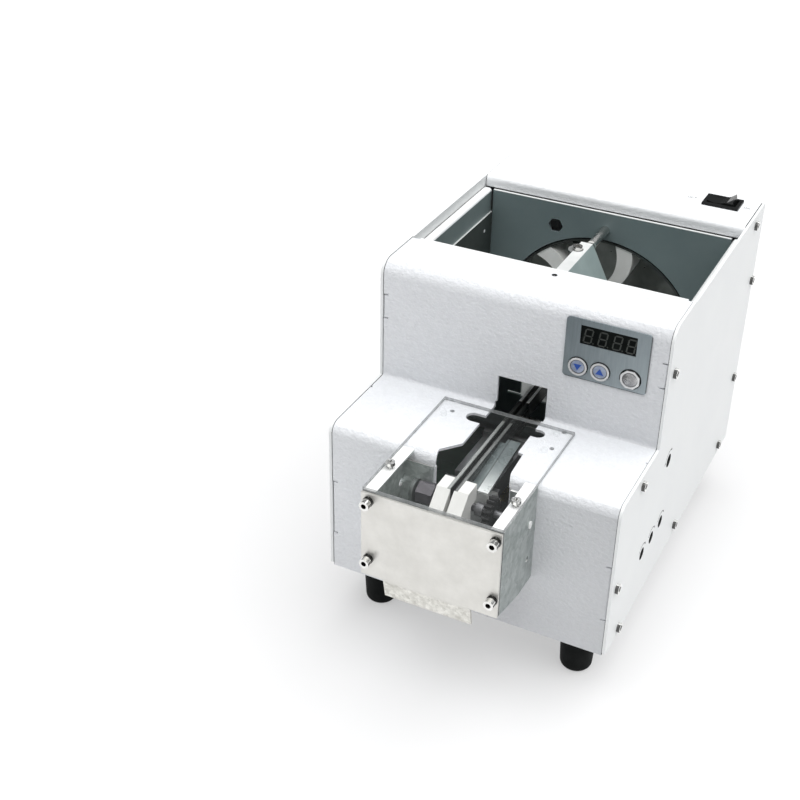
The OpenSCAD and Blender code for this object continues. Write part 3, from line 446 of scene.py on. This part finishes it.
def rail_finish(name):
    """Painted shade along the slit, on the right rail, its flanks and behind the cover; painted light beyond.
    """
    look = Look(name)
    x = look.along("X")
    y = look.along("Y")
    grey = look.tones(look.noise(90, 4.0, stretch=RAIL_STRETCH), (0.30, 0.315, 0.305), (0.44, 0.455, 0.44))
    right = look.more(x, MID_X / MM)
    grey = look.blend(look.times(right, RIGHT_SHARE), grey, SHADE)
    # Painted light where the hopper's light falls on the rails, painted shade where the front cover hides them.
    painted_light = look.more(y, y_at(PAINTED_LIGHT_FROM))
    colour = look.blend(painted_light, grey, (0.95, 0.95, 0.93))
    covered = look.math("SUBTRACT", look.more(y, y_at(COVERED_FROM)), painted_light)
    edge = look.less(look.off(x, MID_X / MM), ((SLIT_RIGHT - SLIT_LEFT) / 2 + SLIT_EDGE) / MM)
    flank = look.more(look.facing("X"), FACING)
    dark = look.times(look.most(covered, edge, flank), RAIL_SHADE_SHARE)
    look.put("Base Color", look.blend(dark, colour, SHADE))
    look.put("Roughness", look.span(look.noise(200, stretch=RAIL_STRETCH), 0.18, 0.30))
    look.put("Metallic", look.span(painted_light, 0.4, 0.0, 0.0, 1.0))
    look.relief(Grain(2200.0, 0.12, 0.00002, (3.0, 0.1, 3.0)))
    return look.material


GROOVE_PLACE = 0.45
GROOVE_HALF = 0.3
GROOVE_SHARE = 0.7
HIGHLIGHT_LENGTH = 0.7
HIGHLIGHT_FADE = 2.6


def guide_finish(name, low, high):
    """Steel strip between two corners: darker left of a groove, painted shade in it, a painted highlight right
    of it to the front.
    """
    look = Look(name)
    x = look.along("X")
    groove_x = (1.0 - GROOVE_PLACE) * low[0] + GROOVE_PLACE * high[0]
    highlight_end = (1.0 - HIGHLIGHT_LENGTH) * low[1] + HIGHLIGHT_LENGTH * high[1]
    drift = look.noise(140, 4.0)
    dull = look.tones(drift, (0.094, 0.121, 0.120), (0.187, 0.218, 0.218))
    bare = look.tones(drift, (0.135, 0.164, 0.164), (0.205, 0.234, 0.234))
    painted_light = look.tones(drift, (0.70, 0.73, 0.72), (0.84, 0.86, 0.85))
    ahead = look.math("POWER", look.span(look.along("Y"), 1.0, 0.0, low[1], highlight_end), HIGHLIGHT_FADE)
    colour = look.blend(look.more(x, groove_x), dull, look.blend(ahead, bare, painted_light))
    groove = look.times(look.less(look.off(x, groove_x), GROOVE_HALF / MM), GROOVE_SHARE)
    look.put("Base Color", look.blend(groove, colour, SHADE))
    look.put("Roughness", look.span(look.noise(90), 0.22, 0.36))
    look.put("Metallic", 0.5)
    look.relief(SHEET_GRAIN)
    return look.material


LOOKS["rail_steel"] = rail_finish("rail_steel")
LOOKS["guide_steel"] = guide_finish("guide_steel", *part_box("guide_bar"))

# Hopper: slate walls with white rims, side liners darkened as painted shade, a bare floor, and the roof over
# the rails.
BULKHEAD_RIM = BODY_H - 8.0
WALL_RIM = BODY_H - 8.6
STRIP_FROM = MID_X + 2.0
FADE_FROM = 10.0
FADE_TO = 24.0
ROOF_SHADOW_SHARE = 0.88


def floor_shade(look):
    """Painted shadow of the roof on the hopper floor right of the rails, fading out towards its eave."""
    x = look.along("X")
    fade = look.span(x, ROOF_SHADOW_SHARE, 0.0, FADE_FROM / MM, FADE_TO / MM)
    return look.times(fade, look.more(x, STRIP_FROM / MM))


# The bulkhead's white above its rim is a painted highlight on its top edge.
LOOKS["bulkhead_grey"] = zoned(
    "bulkhead_sheet",
    ((0.172, 0.224, 0.232), (0.202, 0.256, 0.262)), ((0.86, 0.88, 0.88), (0.92, 0.93, 0.93)),
    axis="Z", edge=z_at(BULKHEAD_RIM), rough=(0.34, 0.46), metal=0.1)
LOOKS["hopper_grey"] = zoned(
    "hopper_slate", ((0.150, 0.190, 0.192), (0.180, 0.222, 0.224)), ((0.84, 0.86, 0.86), (0.90, 0.91, 0.91)),
    axis="Z", edge=z_at(WALL_RIM), rough=(0.32, 0.44), metal=0.1, shade=side_seam(WALL_SEAM))
# Faces that look up are the bare light floor; the dark of the side liners is painted shade.
LOOKS["hopper_liner"] = zoned(
    "hopper_liner", ((0.030, 0.038, 0.035), (0.046, 0.054, 0.050)), ((0.66, 0.68, 0.67), (0.78, 0.79, 0.78)),
    axis="Z", edge=UPWARD, soft=UPWARD_SOFT, rough=(0.36, 0.5), metal=0.1, facing=True, shade=floor_shade)

ROOF_LOW, ROOF_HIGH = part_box("deflector_screw")
ROOF_TOP = BODY_H - 17.5
ROOF_SCREW = ((ROOF_LOW[0] + ROOF_HIGH[0]) / 2, (ROOF_LOW[1] + ROOF_HIGH[1]) / 2, z_at(ROOF_TOP))
RING_R = 3.4
RING_SHARE = 0.8
RIDGE_LEFT = -7.0
LOBE_FROM = ROOF_TOP - 1.4
LOBE_SHARE = 0.72


def roof_shade(look):
    """Painted shade round the screw of the roof and on the lobe left of its ridge."""
    ring = look.times(look.near([ROOF_SCREW], RING_R / MM), RING_SHARE)
    left = look.less(look.along("X"), RIDGE_LEFT / MM)
    high = look.more(look.along("Z"), z_at(LOBE_FROM))
    return look.most(ring, look.times(left, high, LOBE_SHARE))


# The roof is lighter where it faces up than on its slate sides: painted light.
LOOKS["roof_sheet"] = zoned(
    "roof_sheet", ((0.345, 0.43, 0.425), (0.43, 0.52, 0.515)), ((0.74, 0.76, 0.755), (0.84, 0.85, 0.845)),
    axis="Z", edge=UPWARD, soft=UPWARD_SOFT, rough=(0.28, 0.42), metal=(0.35, 0.25), scale=60, facing=True,
    shade=roof_shade)

# Nose: folded spangled sheets, their front plate, and the screws.
NOSE_SEAM = 1.0
INNER_DROP = 4.0
INNER_SHARE = 0.72
FLANGE_IN = 0.9
FLANGE_HALF = 0.22
FLANGE_SHARE = 0.75


def nose_seam(look):
    """Painted shade in the seam where a side of the nose meets its front plate."""
    return look.less(look.along("Y"), y_at(NOSE_Y + NOSE_SEAM))


def inner_shade(look):
    """The seam's painted shade, and painted shade on top edges below the level of the clear cover."""
    low = look.less(look.along("Z"), z_at(NOSE_TOP - INNER_DROP))
    top = look.more(look.facing("Z"), FACING)
    return look.most(nose_seam(look), look.times(low, top, INNER_SHARE))


def flange_shade(look):
    """The seam's painted shade, and a thin line of painted shade along the outer edge of the right flange."""
    line = look.less(look.off(look.along("X"), (NOSE_RIGHT - FLANGE_IN) / MM), FLANGE_HALF / MM)
    top = look.more(look.facing("Z"), FACING)
    return look.most(nose_seam(look), look.times(line, top, FLANGE_SHARE))


# Faces of the nose sheets that look up are lighter than their sides: painted light.
LOOKS["nose_sheet"] = zoned(
    "nose_sheet", ((0.25, 0.285, 0.275), (0.46, 0.495, 0.485)), ((0.86, 0.87, 0.86), (0.92, 0.92, 0.91)),
    axis="Z", edge=UPWARD, soft=UPWARD_SOFT, rough=(0.28, 0.42), metal=(0.5, 0.1), scale=150, facing=True,
    cells=420, shade=flange_shade)
# The nose's inner plate is a brighter copy of the nose sheet: painted light for light through the clear cover.
LOOKS["nose_inner"] = zoned(
    "nose_inner", ((0.34, 0.385, 0.37), (0.62, 0.665, 0.65)), ((0.86, 0.87, 0.86), (0.92, 0.92, 0.91)),
    axis="Z", edge=UPWARD, soft=UPWARD_SOFT, rough=(0.28, 0.42), metal=(0.45, 0.1), scale=150, facing=True,
    cells=420, shade=inner_shade)

# The tongue below the front plate is spangled, and the plate itself is plain nickel.
TONGUE_TOP = STEP_H - 52.0
LOOKS["nose_nickel"] = zoned(
    "nose_nickel", ((0.58, 0.57, 0.52), (0.93, 0.92, 0.87)), ((0.70, 0.69, 0.655), (0.78, 0.77, 0.735)),
    axis="Z", edge=z_at(TONGUE_TOP), soft=0.0008, rough=(0.34, 0.46), metal=(0.5, 0.75), scale=300, cells=600)


def pieces_of(node):
    """Lowest and highest corners of each separate solid in a node."""
    mesh = NODES[node].data
    group = {}

    def root(key):
        while group[key] != key:
            key = group[key]
        return key

    keys = [tuple(round(c, 6) for c in v.co) for v in mesh.vertices]
    group.update((key, key) for key in keys)
    for polygon in mesh.polygons:
        first = root(keys[polygon.vertices[0]])
        for index in polygon.vertices[1:]:
            group[root(keys[index])] = first
    solids = {}
    for key in group:
        solids.setdefault(root(key), []).append(key)
    return [([min(c) for c in zip(*points)], [max(c) for c in zip(*points)]) for points in solids.values()]


SOCKET_BLACK = (0.012, 0.012, 0.011)
SOCKET_METAL = 0.2
FLANK_SHARE = 0.9
FLANK_FACING = 0.35
ROUND_FACING = 0.5


def screw_metal(name, sockets, reach, metal, washers=None):
    """Bright plating, with painted shade on its flanks and in the sockets within reach of the given points.

    washers gives the two Y between which the spring washers lie, dark in their own colour and with painted
    shade round them, for screws along Y.
    """
    look = Look(name)
    bright = look.tones(look.noise(500), (0.74, 0.74, 0.72), (0.90, 0.90, 0.88))
    dark = look.near(sockets, reach)
    if washers:
        y = look.along("Y")
        dark = look.most(dark, look.times(look.more(y, washers[0]), look.less(y, washers[1])))
        round_side = look.less(look.size(look.facing("Y")), ROUND_FACING)
        flank = look.times(round_side, look.less(look.facing("Z"), FLANK_FACING))
    else:
        flank = look.less(look.facing("Y"), -FLANK_FACING)
    dark = look.most(dark, look.times(flank, FLANK_SHARE))
    look.put("Base Color", look.blend(dark, bright, SOCKET_BLACK))
    look.put("Metallic", look.span(dark, metal, SOCKET_METAL, 0.0, 1.0))
    look.put("Roughness", look.span(look.noise(400), 0.07, 0.17))
    look.relief(Grain(1700.0, 0.1, 0.00003))
    return look.material


# Cap screws stand out in front of the plate and have their sockets there, panel screws at their outer ends.
PLATE_T = 1.5
PLATE_FRONT = NOSE_Y - PLATE_T
WASHER_OUT = 2.0
WASHER_IN = 0.05
WASHERS = (y_at(PLATE_FRONT - WASHER_OUT), y_at(PLATE_FRONT + WASHER_IN))
CAP_OUT = 1.5
CAP_SOCKET_IN = 1.1
CAP_SOCKET_R = 1.78
PANEL_SOCKET_R = 1.5
cap_sockets = []
for low, high in pieces_of("nose_screws"):
    if low[1] < y_at(PLATE_FRONT - CAP_OUT):
        cap_sockets.append(((low[0] + high[0]) / 2, low[1] + CAP_SOCKET_IN / MM, (low[2] + high[2]) / 2))
panel_sockets = []
for low, high in pieces_of("side_screws"):
    outer = high[0] if high[0] > 0 else low[0]
    panel_sockets.append((outer, (low[1] + high[1]) / 2, (low[2] + high[2]) / 2))
LOOKS["cap_steel"] = screw_metal("nose_fasteners", cap_sockets, CAP_SOCKET_R / MM, 0.9, WASHERS)
LOOKS["panel_screws"] = screw_metal("panel_screws", panel_sockets, PANEL_SOCKET_R / MM, 0.8)

# Clear cover.
ACRYLIC_IOR = 1.49
SAWN_RIM = 0.3
SAWN_ALPHA = 0.7
HOLE_ALPHA = 0.16


def clear_sheet(name, low, high, rim):
    """Clear sheet between two corners: clear faces and holes, and a grey sawn edge as wide as rim."""
    look = Look(name)
    sides = []
    for axis, start, end in zip("XY", low, high):
        value = look.along(axis)
        sides.append(look.most(look.less(value, start + rim), look.more(value, end - rim)))
    edge = look.most(*sides)
    wall = look.less(look.size(look.facing("Z")), FACING)
    drift = look.noise(40)
    haze = look.span(drift, 0.004, 0.014)
    look.put("Alpha", look.most(look.times(edge, SAWN_ALPHA), look.times(wall, HOLE_ALPHA), haze))
    grey = look.tones(look.noise(300, stretch=(1.0, 1.0, 0.1)), (0.27, 0.285, 0.29), (0.46, 0.475, 0.48))
    look.put("Base Color", look.blend(edge, (0.80, 0.84, 0.84), grey))
    look.put("Roughness", look.span(drift, 0.03, 0.08))
    look.put("IOR", ACRYLIC_IOR)
    look.put("Specular IOR Level", 0.06)
    look.relief(Grain(60.0, 0.02, 0.00004), 2.0, 0.5)
    return look.material


LOOKS["clear_acrylic"] = clear_sheet("clear_acrylic", *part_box("acrylic_cover"), SAWN_RIM / MM)

# Controls: grey film, display window, keys and switch.
FILM_EDGE = 0.4
FILM_EDGE_SHARE = 0.7
FILM_BRUSH = (3.0, 1.0, 0.25)


def brushed_plate(name, low, high):
    """Film between two corners, brushed upright, darker at its upper left, with painted shade along its right
    and lower edges.
    """
    look = Look(name)
    x = look.along("X")
    z = look.along("Z")
    across = look.span(x, 0.0, 0.55, low[0], high[0])
    down = look.span(z, 0.45, 0.0, low[2], high[2])
    streak = look.span(look.noise(260, 4.0, 0.65, FILM_BRUSH), -0.16, 0.16)
    tone = look.plus(across, down, streak)
    film = look.tones(tone, (0.135, 0.165, 0.180), (0.310, 0.358, 0.380), 0.0, 1.0)
    edge = look.most(look.more(x, high[0] - FILM_EDGE / MM), look.less(z, low[2] + FILM_EDGE / MM))
    look.put("Base Color", look.blend(look.times(edge, FILM_EDGE_SHARE), film, SHADE))
    look.put("Roughness", look.span(look.noise(300, stretch=FILM_BRUSH), 0.30, 0.44))
    look.put("Metallic", 0.25)
    look.relief(Grain(1500.0, 0.25, 0.00004, (2.0, 1.0, 0.2)))
    return look.material


LOOKS["overlay_grey"] = brushed_plate("overlay_film", *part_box("panel_overlay"))
LOOKS["display_black"] = surface(
    "display_window", (0.003, 0.004, 0.004), (0.007, 0.009, 0.008), rough=(0.22, 0.32), scale=80,
    grain=Grain(900.0, 0.03, 0.00002), spec=0.04)
LOOKS["rocker_black"] = surface(
    "rocker_black", (0.006, 0.0065, 0.0065), (0.013, 0.014, 0.014), rough=(0.14, 0.22), scale=120,
    grain=Grain(2000.0, 0.08, 0.00002), spec=0.3)

# The ring of a key is silver in front, and its wall behind that is dark: painted shade in the gap round the
# dome.
KEY_RING = 0.28
LOOKS["key_silver"] = zoned(
    "key_silver", ((0.62, 0.625, 0.63), (0.78, 0.785, 0.79)), ((0.05, 0.052, 0.055), (0.09, 0.092, 0.095)),
    axis="Y", edge=y_at(KEY_Y + KEY_RING), rough=(0.20, 0.30), metal=0.3, scale=120)

# Nodes whose finish is their own: fasteners with painted shade, darker pieces inside the nose, and painted
# light on the nose's inner plate and the rear cover.
OWN = {
    "nose_screws": "cap_steel", "side_screws": "panel_screws", "chute_plate": "dull_zinc",
    "roller_gear": "gear_black", "nose_left_plate": "nose_inner", "roller_shaft": "shaded_shaft",
    "rear_cover": "rear_white",
}
slots = {part["node"]: part["material_slot"] for part in frame["record"]["subparts"]}
for name, node in NODES.items():
    node.data.materials.clear()
    node.data.materials.append(LOOKS[OWN.get(name, slots[name])])

# Radii of soft broken edges on sheet metal and moulded parts, at corners sharper than an angle in degrees.
EDGE_ANGLE = 40
EDGE_SEGMENTS = 2
ROUND = {
    "front_cover": 0.35, "rear_cover": 0.35, "left_side_panel": 0.35, "right_side_panel": 0.35,
    "nose_front_plate": 0.25, "nose_left_plate": 0.2, "nose_right_plate": 0.2, "rail_deflector": 0.25,
    "switch_body": 0.35, "switch_rocker": 0.4, "panel_overlay": 0.4, "end_block_left": 0.35,
    "end_block_right": 0.35, "guide_bar": 0.15, "acrylic_cover": 0.15, "nose_screws": 0.25,
    "side_screws": 0.3, "button_down": 0.25, "button_up": 0.25, "button_set": 0.45, "left_rail": 0.15,
    "right_rail": 0.15, "deflector_screw": 0.25, "hopper_left_wall": 0.25, "hopper_right_wall": 0.25,
    "roller_hub": 0.4, "trimmer_knob_1": 0.2, "trimmer_knob_2": 0.2, "trimmer_knob_3": 0.2,
    "power_jack": 0.25, "deflector_shaft": 0.2,
}
for name, radius in ROUND.items():
    bevel = NODES[name].modifiers.new("soft_edge", "BEVEL")
    bevel.width = radius / MM
    bevel.segments = EDGE_SEGMENTS
    bevel.limit_method = "ANGLE"
    bevel.angle_limit = math.radians(EDGE_ANGLE)
    bevel.use_clamp_overlap = True

# The clear cover lies flat on the step, so its visible skin is drawn in by a hair.
SKIN_IN = 0.1
skin = NODES["acrylic_cover"].modifiers.new("clear_of_step", "DISPLACE")
skin.mid_level = 0.0
skin.strength = -SKIN_IN / MM


def add_piece(name, bm, material, body):
    """Make a piece of the finished mesh bm, which rides on the body."""
    bmesh.ops.recalc_face_normals(bm, faces=bm.faces)
    mesh = bpy.data.meshes.new(name)
    bm.to_mesh(mesh)
    bm.free()
    o = bpy.data.objects.new(name, mesh)
    bpy.context.scene.collection.objects.link(o)
    mesh.materials.append(material)
    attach(o, body)
    return o


def plate(bm, outline, origin, u, v, out, thickness):
    """Flat outline in the plane of u and v, as a plate that rises towards out, in millimetres."""
    low = [bm.verts.new(place(*(origin + u * a + v * b))) for a, b in outline]
    high = [bm.verts.new(place(*(origin + u * a + v * b + out * thickness))) for a, b in outline]
    bm.faces.new(list(reversed(low)))
    bm.faces.new(high)
    for i in range(len(outline)):
        j = (i + 1) % len(outline)
        bm.faces.new([low[i], low[j], high[j], high[i]])


def cap(bm, centre, u, v, out, radius, height, rings, segments):
    """Low round cap on a disc in the plane of u and v, which rises towards out, in millimetres."""
    rows = []
    for ring in range(rings - 1):
        rise = ring / (rings - 1) * math.pi / 2
        level = centre + out * height * math.sin(rise)
        row = []
        for k in range(segments):
            turn = k * math.tau / segments
            spoke = (u * math.cos(turn) + v * math.sin(turn)) * radius * math.cos(rise)
            row.append(bm.verts.new(place(*(level + spoke))))
        rows.append(row)
    tip = bm.verts.new(place(*(centre + out * height)))
    for low, high in zip(rows, rows[1:]):
        for k in range(segments):
            j = (k + 1) % segments
            bm.faces.new([low[k], low[j], high[j], high[k]])
    for k in range(segments):
        bm.faces.new([rows[-1][k], rows[-1][(k + 1) % segments], tip])
    bm.faces.new(list(reversed(rows[0])))


SMOOTH_ANGLE = 35


def smooth(piece):
    """Shade a piece smoothly, apart from edges sharper than the angle."""
    for polygon in piece.data.polygons:
        polygon.use_smooth = True
    split = piece.modifiers.new("by_angle", "EDGE_SPLIT")
    split.split_angle = math.radians(SMOOTH_ANGLE)


# Print and thin pieces share a fine grain.
PRINT_GRAIN = Grain(1500.0, 0.08, 0.00002)

# Unlit digits of the display, each with its middle in X.
DISPLAY_X, _, DISPLAY_Z = middle("display_module")
DISPLAY_FACE = Vector((DISPLAY_X, box_mm("display_module")[0][1], DISPLAY_Z))
DIGIT_X = (37.2, 44.9, 52.6, 59.9)
DIGIT_W = 3.9
DIGIT_H = 7.7
DIGIT_DROP = 0.35
DIGIT_SLANT = 0.14
SEGMENT_W = 0.75
SEGMENT_GAP = 0.12
SEGMENT_T = 0.06
DOT_X = 2.75
DOT_DROP = 0.2
DOT_R = 0.42
DOT_SIDES = 16


def segment_outline(start, end, width):
    """Bar from start to end with pointed tips."""
    ahead = (end - start).normalized()
    side = Vector((-ahead.y, ahead.x)) * width / 2
    tip = ahead * width / 2
    return [start, start + tip + side, end - tip + side, end, end - tip - side, start + tip - side]


def digit(bm, centre_x):
    """Seven slanted segments and the point of one digit."""
    shift = centre_x - DISPLAY_X
    w = DIGIT_W / 2
    h = DIGIT_H / 2
    level = [(-w, h, w, h), (-w, 0, w, 0), (-w, -h, w, -h)]
    upright = [(-w, 0, -w, h), (w, 0, w, h), (-w, -h, -w, 0), (w, -h, w, 0)]
    for x0, z0, x1, z1 in level + upright:
        start = Vector((x0, z0))
        end = Vector((x1, z1))
        gap = (end - start).normalized() * SEGMENT_GAP
        outline = segment_outline(start + gap, end - gap, SEGMENT_W)
        outline = [(shift + a + DIGIT_SLANT * b, b - DIGIT_DROP) for a, b in outline]
        plate(bm, outline, DISPLAY_FACE, X, Z, -Y, SEGMENT_T)
    dot = []
    for k in range(DOT_SIDES):
        turn = k * math.tau / DOT_SIDES
        dot.append((shift + DOT_X + DOT_R * math.cos(turn), -h - DOT_DROP + DOT_R * math.sin(turn)))
    plate(bm, dot, DISPLAY_FACE, X, Z, -Y, SEGMENT_T)


segment_grey = surface(
    "unlit_segment", (0.017, 0.021, 0.018), (0.027, 0.032, 0.028), rough=(0.3, 0.42), scale=200,
    grain=Grain(1200.0, 0.1, 0.00002))
bm = bmesh.new()
for digit_x in DIGIT_X:
    digit(bm, digit_x)
add_piece("display_segments", bm, segment_grey, "chassis")

# Domes and arrows of the keys.
ARROW_HALF = 2.2
ARROW_FOOT = 1.5
ARROW_TIP = 2.05
ARROW_Y = KEY_Y + 0.075
ARROW_T = 0.06
DOME_Y = KEY_Y + 0.39
DOME_RINGS, DOME_SIDES = 7, 48
ARROW_DOME = {"radius": 3.6, "height": 0.36}
SET_DOME = {"radius": 3.95, "height": 0.42}
DOME_GRAIN = Grain(1500.0, 0.06, 0.00002)


def key_dome(body, node, material, radius, height):
    """Low dome in the ring of a key."""
    x, _, z = middle(node)
    bm = bmesh.new()
    cap(bm, Vector((x, DOME_Y, z)), X, Z, -Y, radius, height, DOME_RINGS, DOME_SIDES)
    smooth(add_piece(body + "_dome", bm, material, body))


def key_arrow(body, node, up, material):
    """Printed triangle on the dome of a key, which points up or down."""
    x, _, z = middle(node)
    bm = bmesh.new()
    triangle = [(-ARROW_HALF, -ARROW_FOOT * up), (ARROW_HALF, -ARROW_FOOT * up), (0.0, ARROW_TIP * up)]
    plate(bm, triangle, Vector((x, ARROW_Y, z)), X, Z, -Y, ARROW_T)
    add_piece(body + "_arrow", bm, material, body)


arrow_blue = surface(
    "blue_print", (0.008, 0.055, 0.30), (0.014, 0.075, 0.38), rough=(0.35, 0.45), scale=300,
    grain=PRINT_GRAIN)
dome_blue = surface(
    "key_dome", (0.21, 0.25, 0.35), (0.32, 0.37, 0.48), rough=(0.22, 0.32), scale=160, grain=DOME_GRAIN,
    metal=0.1, coat=0.3)
dome_silver = surface(
    "set_dome", (0.16, 0.16, 0.165), (0.46, 0.46, 0.465), rough=(0.16, 0.26), scale=260, grain=DOME_GRAIN,
    metal=0.75, coat=0.3)
for body, node, up in (("down_key", "button_down", -1), ("up_key", "button_up", 1)):
    key_dome(body, node, dome_blue, **ARROW_DOME)
    key_arrow(body, node, up, arrow_blue)
key_dome("set_key", "button_set", dome_silver, **SET_DOME)

# Rivets on the inner faces of the hopper liner.
LINER_T = 1.0
LINER_X = box_mm("hopper_floor")[1][0] - LINER_T
RIVET_Y = (118.0, 180.0)
RIVET_Z = 133.0
RIVET_R = 1.1
RIVET_H = 0.45
RIVET_SUNK = 0.1
RIVET_RINGS, RIVET_SIDES = 5, 20
rivet_white = surface(
    "rivet_white", (0.66, 0.68, 0.68), (0.78, 0.79, 0.79), rough=(0.28, 0.4), scale=300, grain=PRINT_GRAIN,
    metal=0.2)
bm = bmesh.new()
for side in (-1, 1):
    for y in RIVET_Y:
        seat = Vector((side * (LINER_X + RIVET_SUNK), y, RIVET_Z))
        cap(bm, seat, Y, Z, -side * X, RIVET_R, RIVET_H, RIVET_RINGS, RIVET_SIDES)
smooth(add_piece("liner_rivets", bm, rivet_white, "chassis"))

# Printed marks: turning arrows at the holes in the side, and the words at the switch.
PRINT_T = 0.03
ARC_W = 0.5
ARC_STEPS = 14
HEAD_HALF = 1.6 * ARC_W
HEAD_LONG = 3.6 * ARC_W
TRIM_ARC_R = 6.2
GATE_ARC_R = 6.4
print_grey = surface(
    "grey_print", (0.035, 0.037, 0.039), (0.060, 0.062, 0.065), rough=(0.45, 0.6), scale=400,
    grain=PRINT_GRAIN)


def arc_arrow(bm, y, z, radius, start, end, two_heads):
    """Clockwise arc with one or two heads on the right side panel, angles in degrees from Y towards Z."""
    centre = Vector((HALF_W, y, z))
    spokes = []
    for step in range(ARC_STEPS + 1):
        turn = math.radians(start + (end - start) * step / ARC_STEPS)
        spokes.append(Vector((math.cos(turn), math.sin(turn))))
    outer = radius + ARC_W / 2
    inner = radius - ARC_W / 2
    for a, b in zip(spokes, spokes[1:]):
        plate(bm, [a * outer, b * outer, b * inner, a * inner], centre, Y, Z, X, PRINT_T)
    heads = [(spokes[-1], -1)]
    if two_heads:
        heads.append((spokes[0], 1))
    for spoke, sign in heads:
        ahead = Vector((-spoke.y, spoke.x)) * sign
        foot = spoke * radius
        head = [foot + spoke * HEAD_HALF, foot + ahead * HEAD_LONG, foot - spoke * HEAD_HALF]
        plate(bm, head, centre, Y, Z, X, PRINT_T)


bm = bmesh.new()
for y in TRIM_Y:
    arc_arrow(bm, y, TRIM_Z, TRIM_ARC_R, start=150, end=45, two_heads=False)
arc_arrow(bm, GATE_Y, GATE_Z, GATE_ARC_R, start=165, end=60, two_heads=True)
add_piece("side_marks", bm, print_grey, "chassis")

# Strokes of the letters, from one point to the next, and the pitch from letter to letter.
LETTER_W = 1.3
LETTER_H = 2.0
LETTER_PITCH = 2.0
STROKE_W = 0.28
F_BAR_W = 1.0
F_BAR_H = 1.05
LETTERS = {
    "O": [(0, 0, 0, LETTER_H), (0, LETTER_H, LETTER_W, LETTER_H), (LETTER_W, LETTER_H, LETTER_W, 0),
          (LETTER_W, 0, 0, 0)],
    "N": [(0, 0, 0, LETTER_H), (0, LETTER_H, LETTER_W, 0), (LETTER_W, 0, LETTER_W, LETTER_H)],
    "F": [(0, 0, 0, LETTER_H), (0, LETTER_H, LETTER_W, LETTER_H), (0, F_BAR_H, F_BAR_W, F_BAR_H)],
}
SWITCH_X, SWITCH_Y, _ = middle("switch_body")
WORDS = {"OFF": SWITCH_X - 20.5, "ON": SWITCH_X + 12.6}
WORD_Y = SWITCH_Y - 1.0


def stroke(bm, start, end, origin):
    """Straight stroke with square ends on the top of the rear cover."""
    ahead = (end - start).normalized() * STROKE_W / 2
    side = Vector((-ahead.y, ahead.x))
    outline = [start - ahead + side, start - ahead - side, end + ahead - side, end + ahead + side]
    plate(bm, outline, origin, X, Y, Z, PRINT_T)


bm = bmesh.new()
for word, word_x in WORDS.items():
    for count, letter in enumerate(word):
        for x0, y0, x1, y1 in LETTERS[letter]:
            shift = count * LETTER_PITCH
            stroke(bm, Vector((shift + x0, y0)), Vector((shift + x1, y1)), Vector((word_x, WORD_Y, BODY_H)))
add_piece("switch_words", bm, print_grey, "chassis")

# Stage: a white floor that glows a little, as a light table does.
FLOOR_HALF = 30.0
bpy.context.scene.view_settings.view_transform = "Standard"
paper = Look("floor_paper")
paper.put("Base Color", paper.tones(paper.noise(3.0, 2.0, 0.5), (0.435, 0.435, 0.438), (0.450, 0.450, 0.453)))
paper.put("Roughness", 0.9)
paper.put("Emission Color", (1.0, 1.0, 1.0))
paper.put("Emission Strength", 0.42)
paper.put("Specular IOR Level", 0.1)
bm = bmesh.new()
bmesh.ops.create_grid(bm, x_segments=2, y_segments=2, size=FLOOR_HALF)
floor_mesh = bpy.data.meshes.new("floor")
bm.to_mesh(floor_mesh)
bm.free()
floor = bpy.data.objects.new("floor", floor_mesh)
bpy.context.scene.collection.objects.link(floor)
floor_mesh.materials.append(paper.material)

# Light: a faint even surround, a wide lamp overhead and a weaker one from the left front.
world = bpy.data.worlds.new("studio")
bpy.context.scene.world = world
world.use_nodes = True
surround = world.node_tree.nodes["Background"]
surround.inputs["Color"].default_value = (0.975, 0.985, 1.0, 1.0)
surround.inputs["Strength"].default_value = 0.10


def soft_sun(name, towards, strength, spread):
    """Sun lamp that shines from the direction towards, as wide in degrees as the spread."""
    sun = bpy.data.lights.new(name, "SUN")
    sun.energy = strength
    sun.angle = math.radians(spread)
    lamp = bpy.data.objects.new(name, sun)
    bpy.context.scene.collection.objects.link(lamp)
    lamp.location = towards
    lamp.rotation_euler = (-Vector(towards)).to_track_quat("-Z", "Y").to_euler()


soft_sun("overhead_soft", (0.24, 0.06, 0.96), strength=3.95, spread=85)
soft_sun("front_soft", (-0.30, -0.58, 0.75), strength=0.75, spread=50)

# Camera, solved from the housing in the photo: focal length and width in pixels, angles in degrees.
FOCAL_PIXELS = 1337.5
PHOTO_PIXELS = 800.0
SENSOR_MM = 36.0
CAMERA_PLACE = (0.2148, -0.6032, 0.5109)
CAMERA_AZIMUTH = 26.48
CAMERA_ELEVATION = 32.17
CAMERA_ROLL = 0.91
azimuth = math.radians(CAMERA_AZIMUTH)
elevation = math.radians(CAMERA_ELEVATION)
roll = math.radians(CAMERA_ROLL)
lens = bpy.data.cameras.new("camera")
lens.sensor_fit = "HORIZONTAL"
lens.sensor_width = SENSOR_MM
lens.lens = FOCAL_PIXELS / PHOTO_PIXELS * SENSOR_MM
lens.clip_start = 0.01
camera = bpy.data.objects.new("camera", lens)
bpy.context.scene.collection.objects.link(camera)
level_back = Vector((math.sin(azimuth), -math.cos(azimuth), 0.0)) * math.cos(elevation)
back = level_back + Z * math.sin(elevation)
right = Vector((math.cos(azimuth), math.sin(azimuth), 0.0))
up = back.cross(right)
rolled_right = math.cos(roll) * right + math.sin(roll) * up
rolled_up = -math.sin(roll) * right + math.cos(roll) * up
turn = Matrix((rolled_right, rolled_up, back)).transposed().to_4x4()
camera.matrix_world = Matrix.Translation(CAMERA_PLACE) @ turn
bpy.context.scene.camera = camera
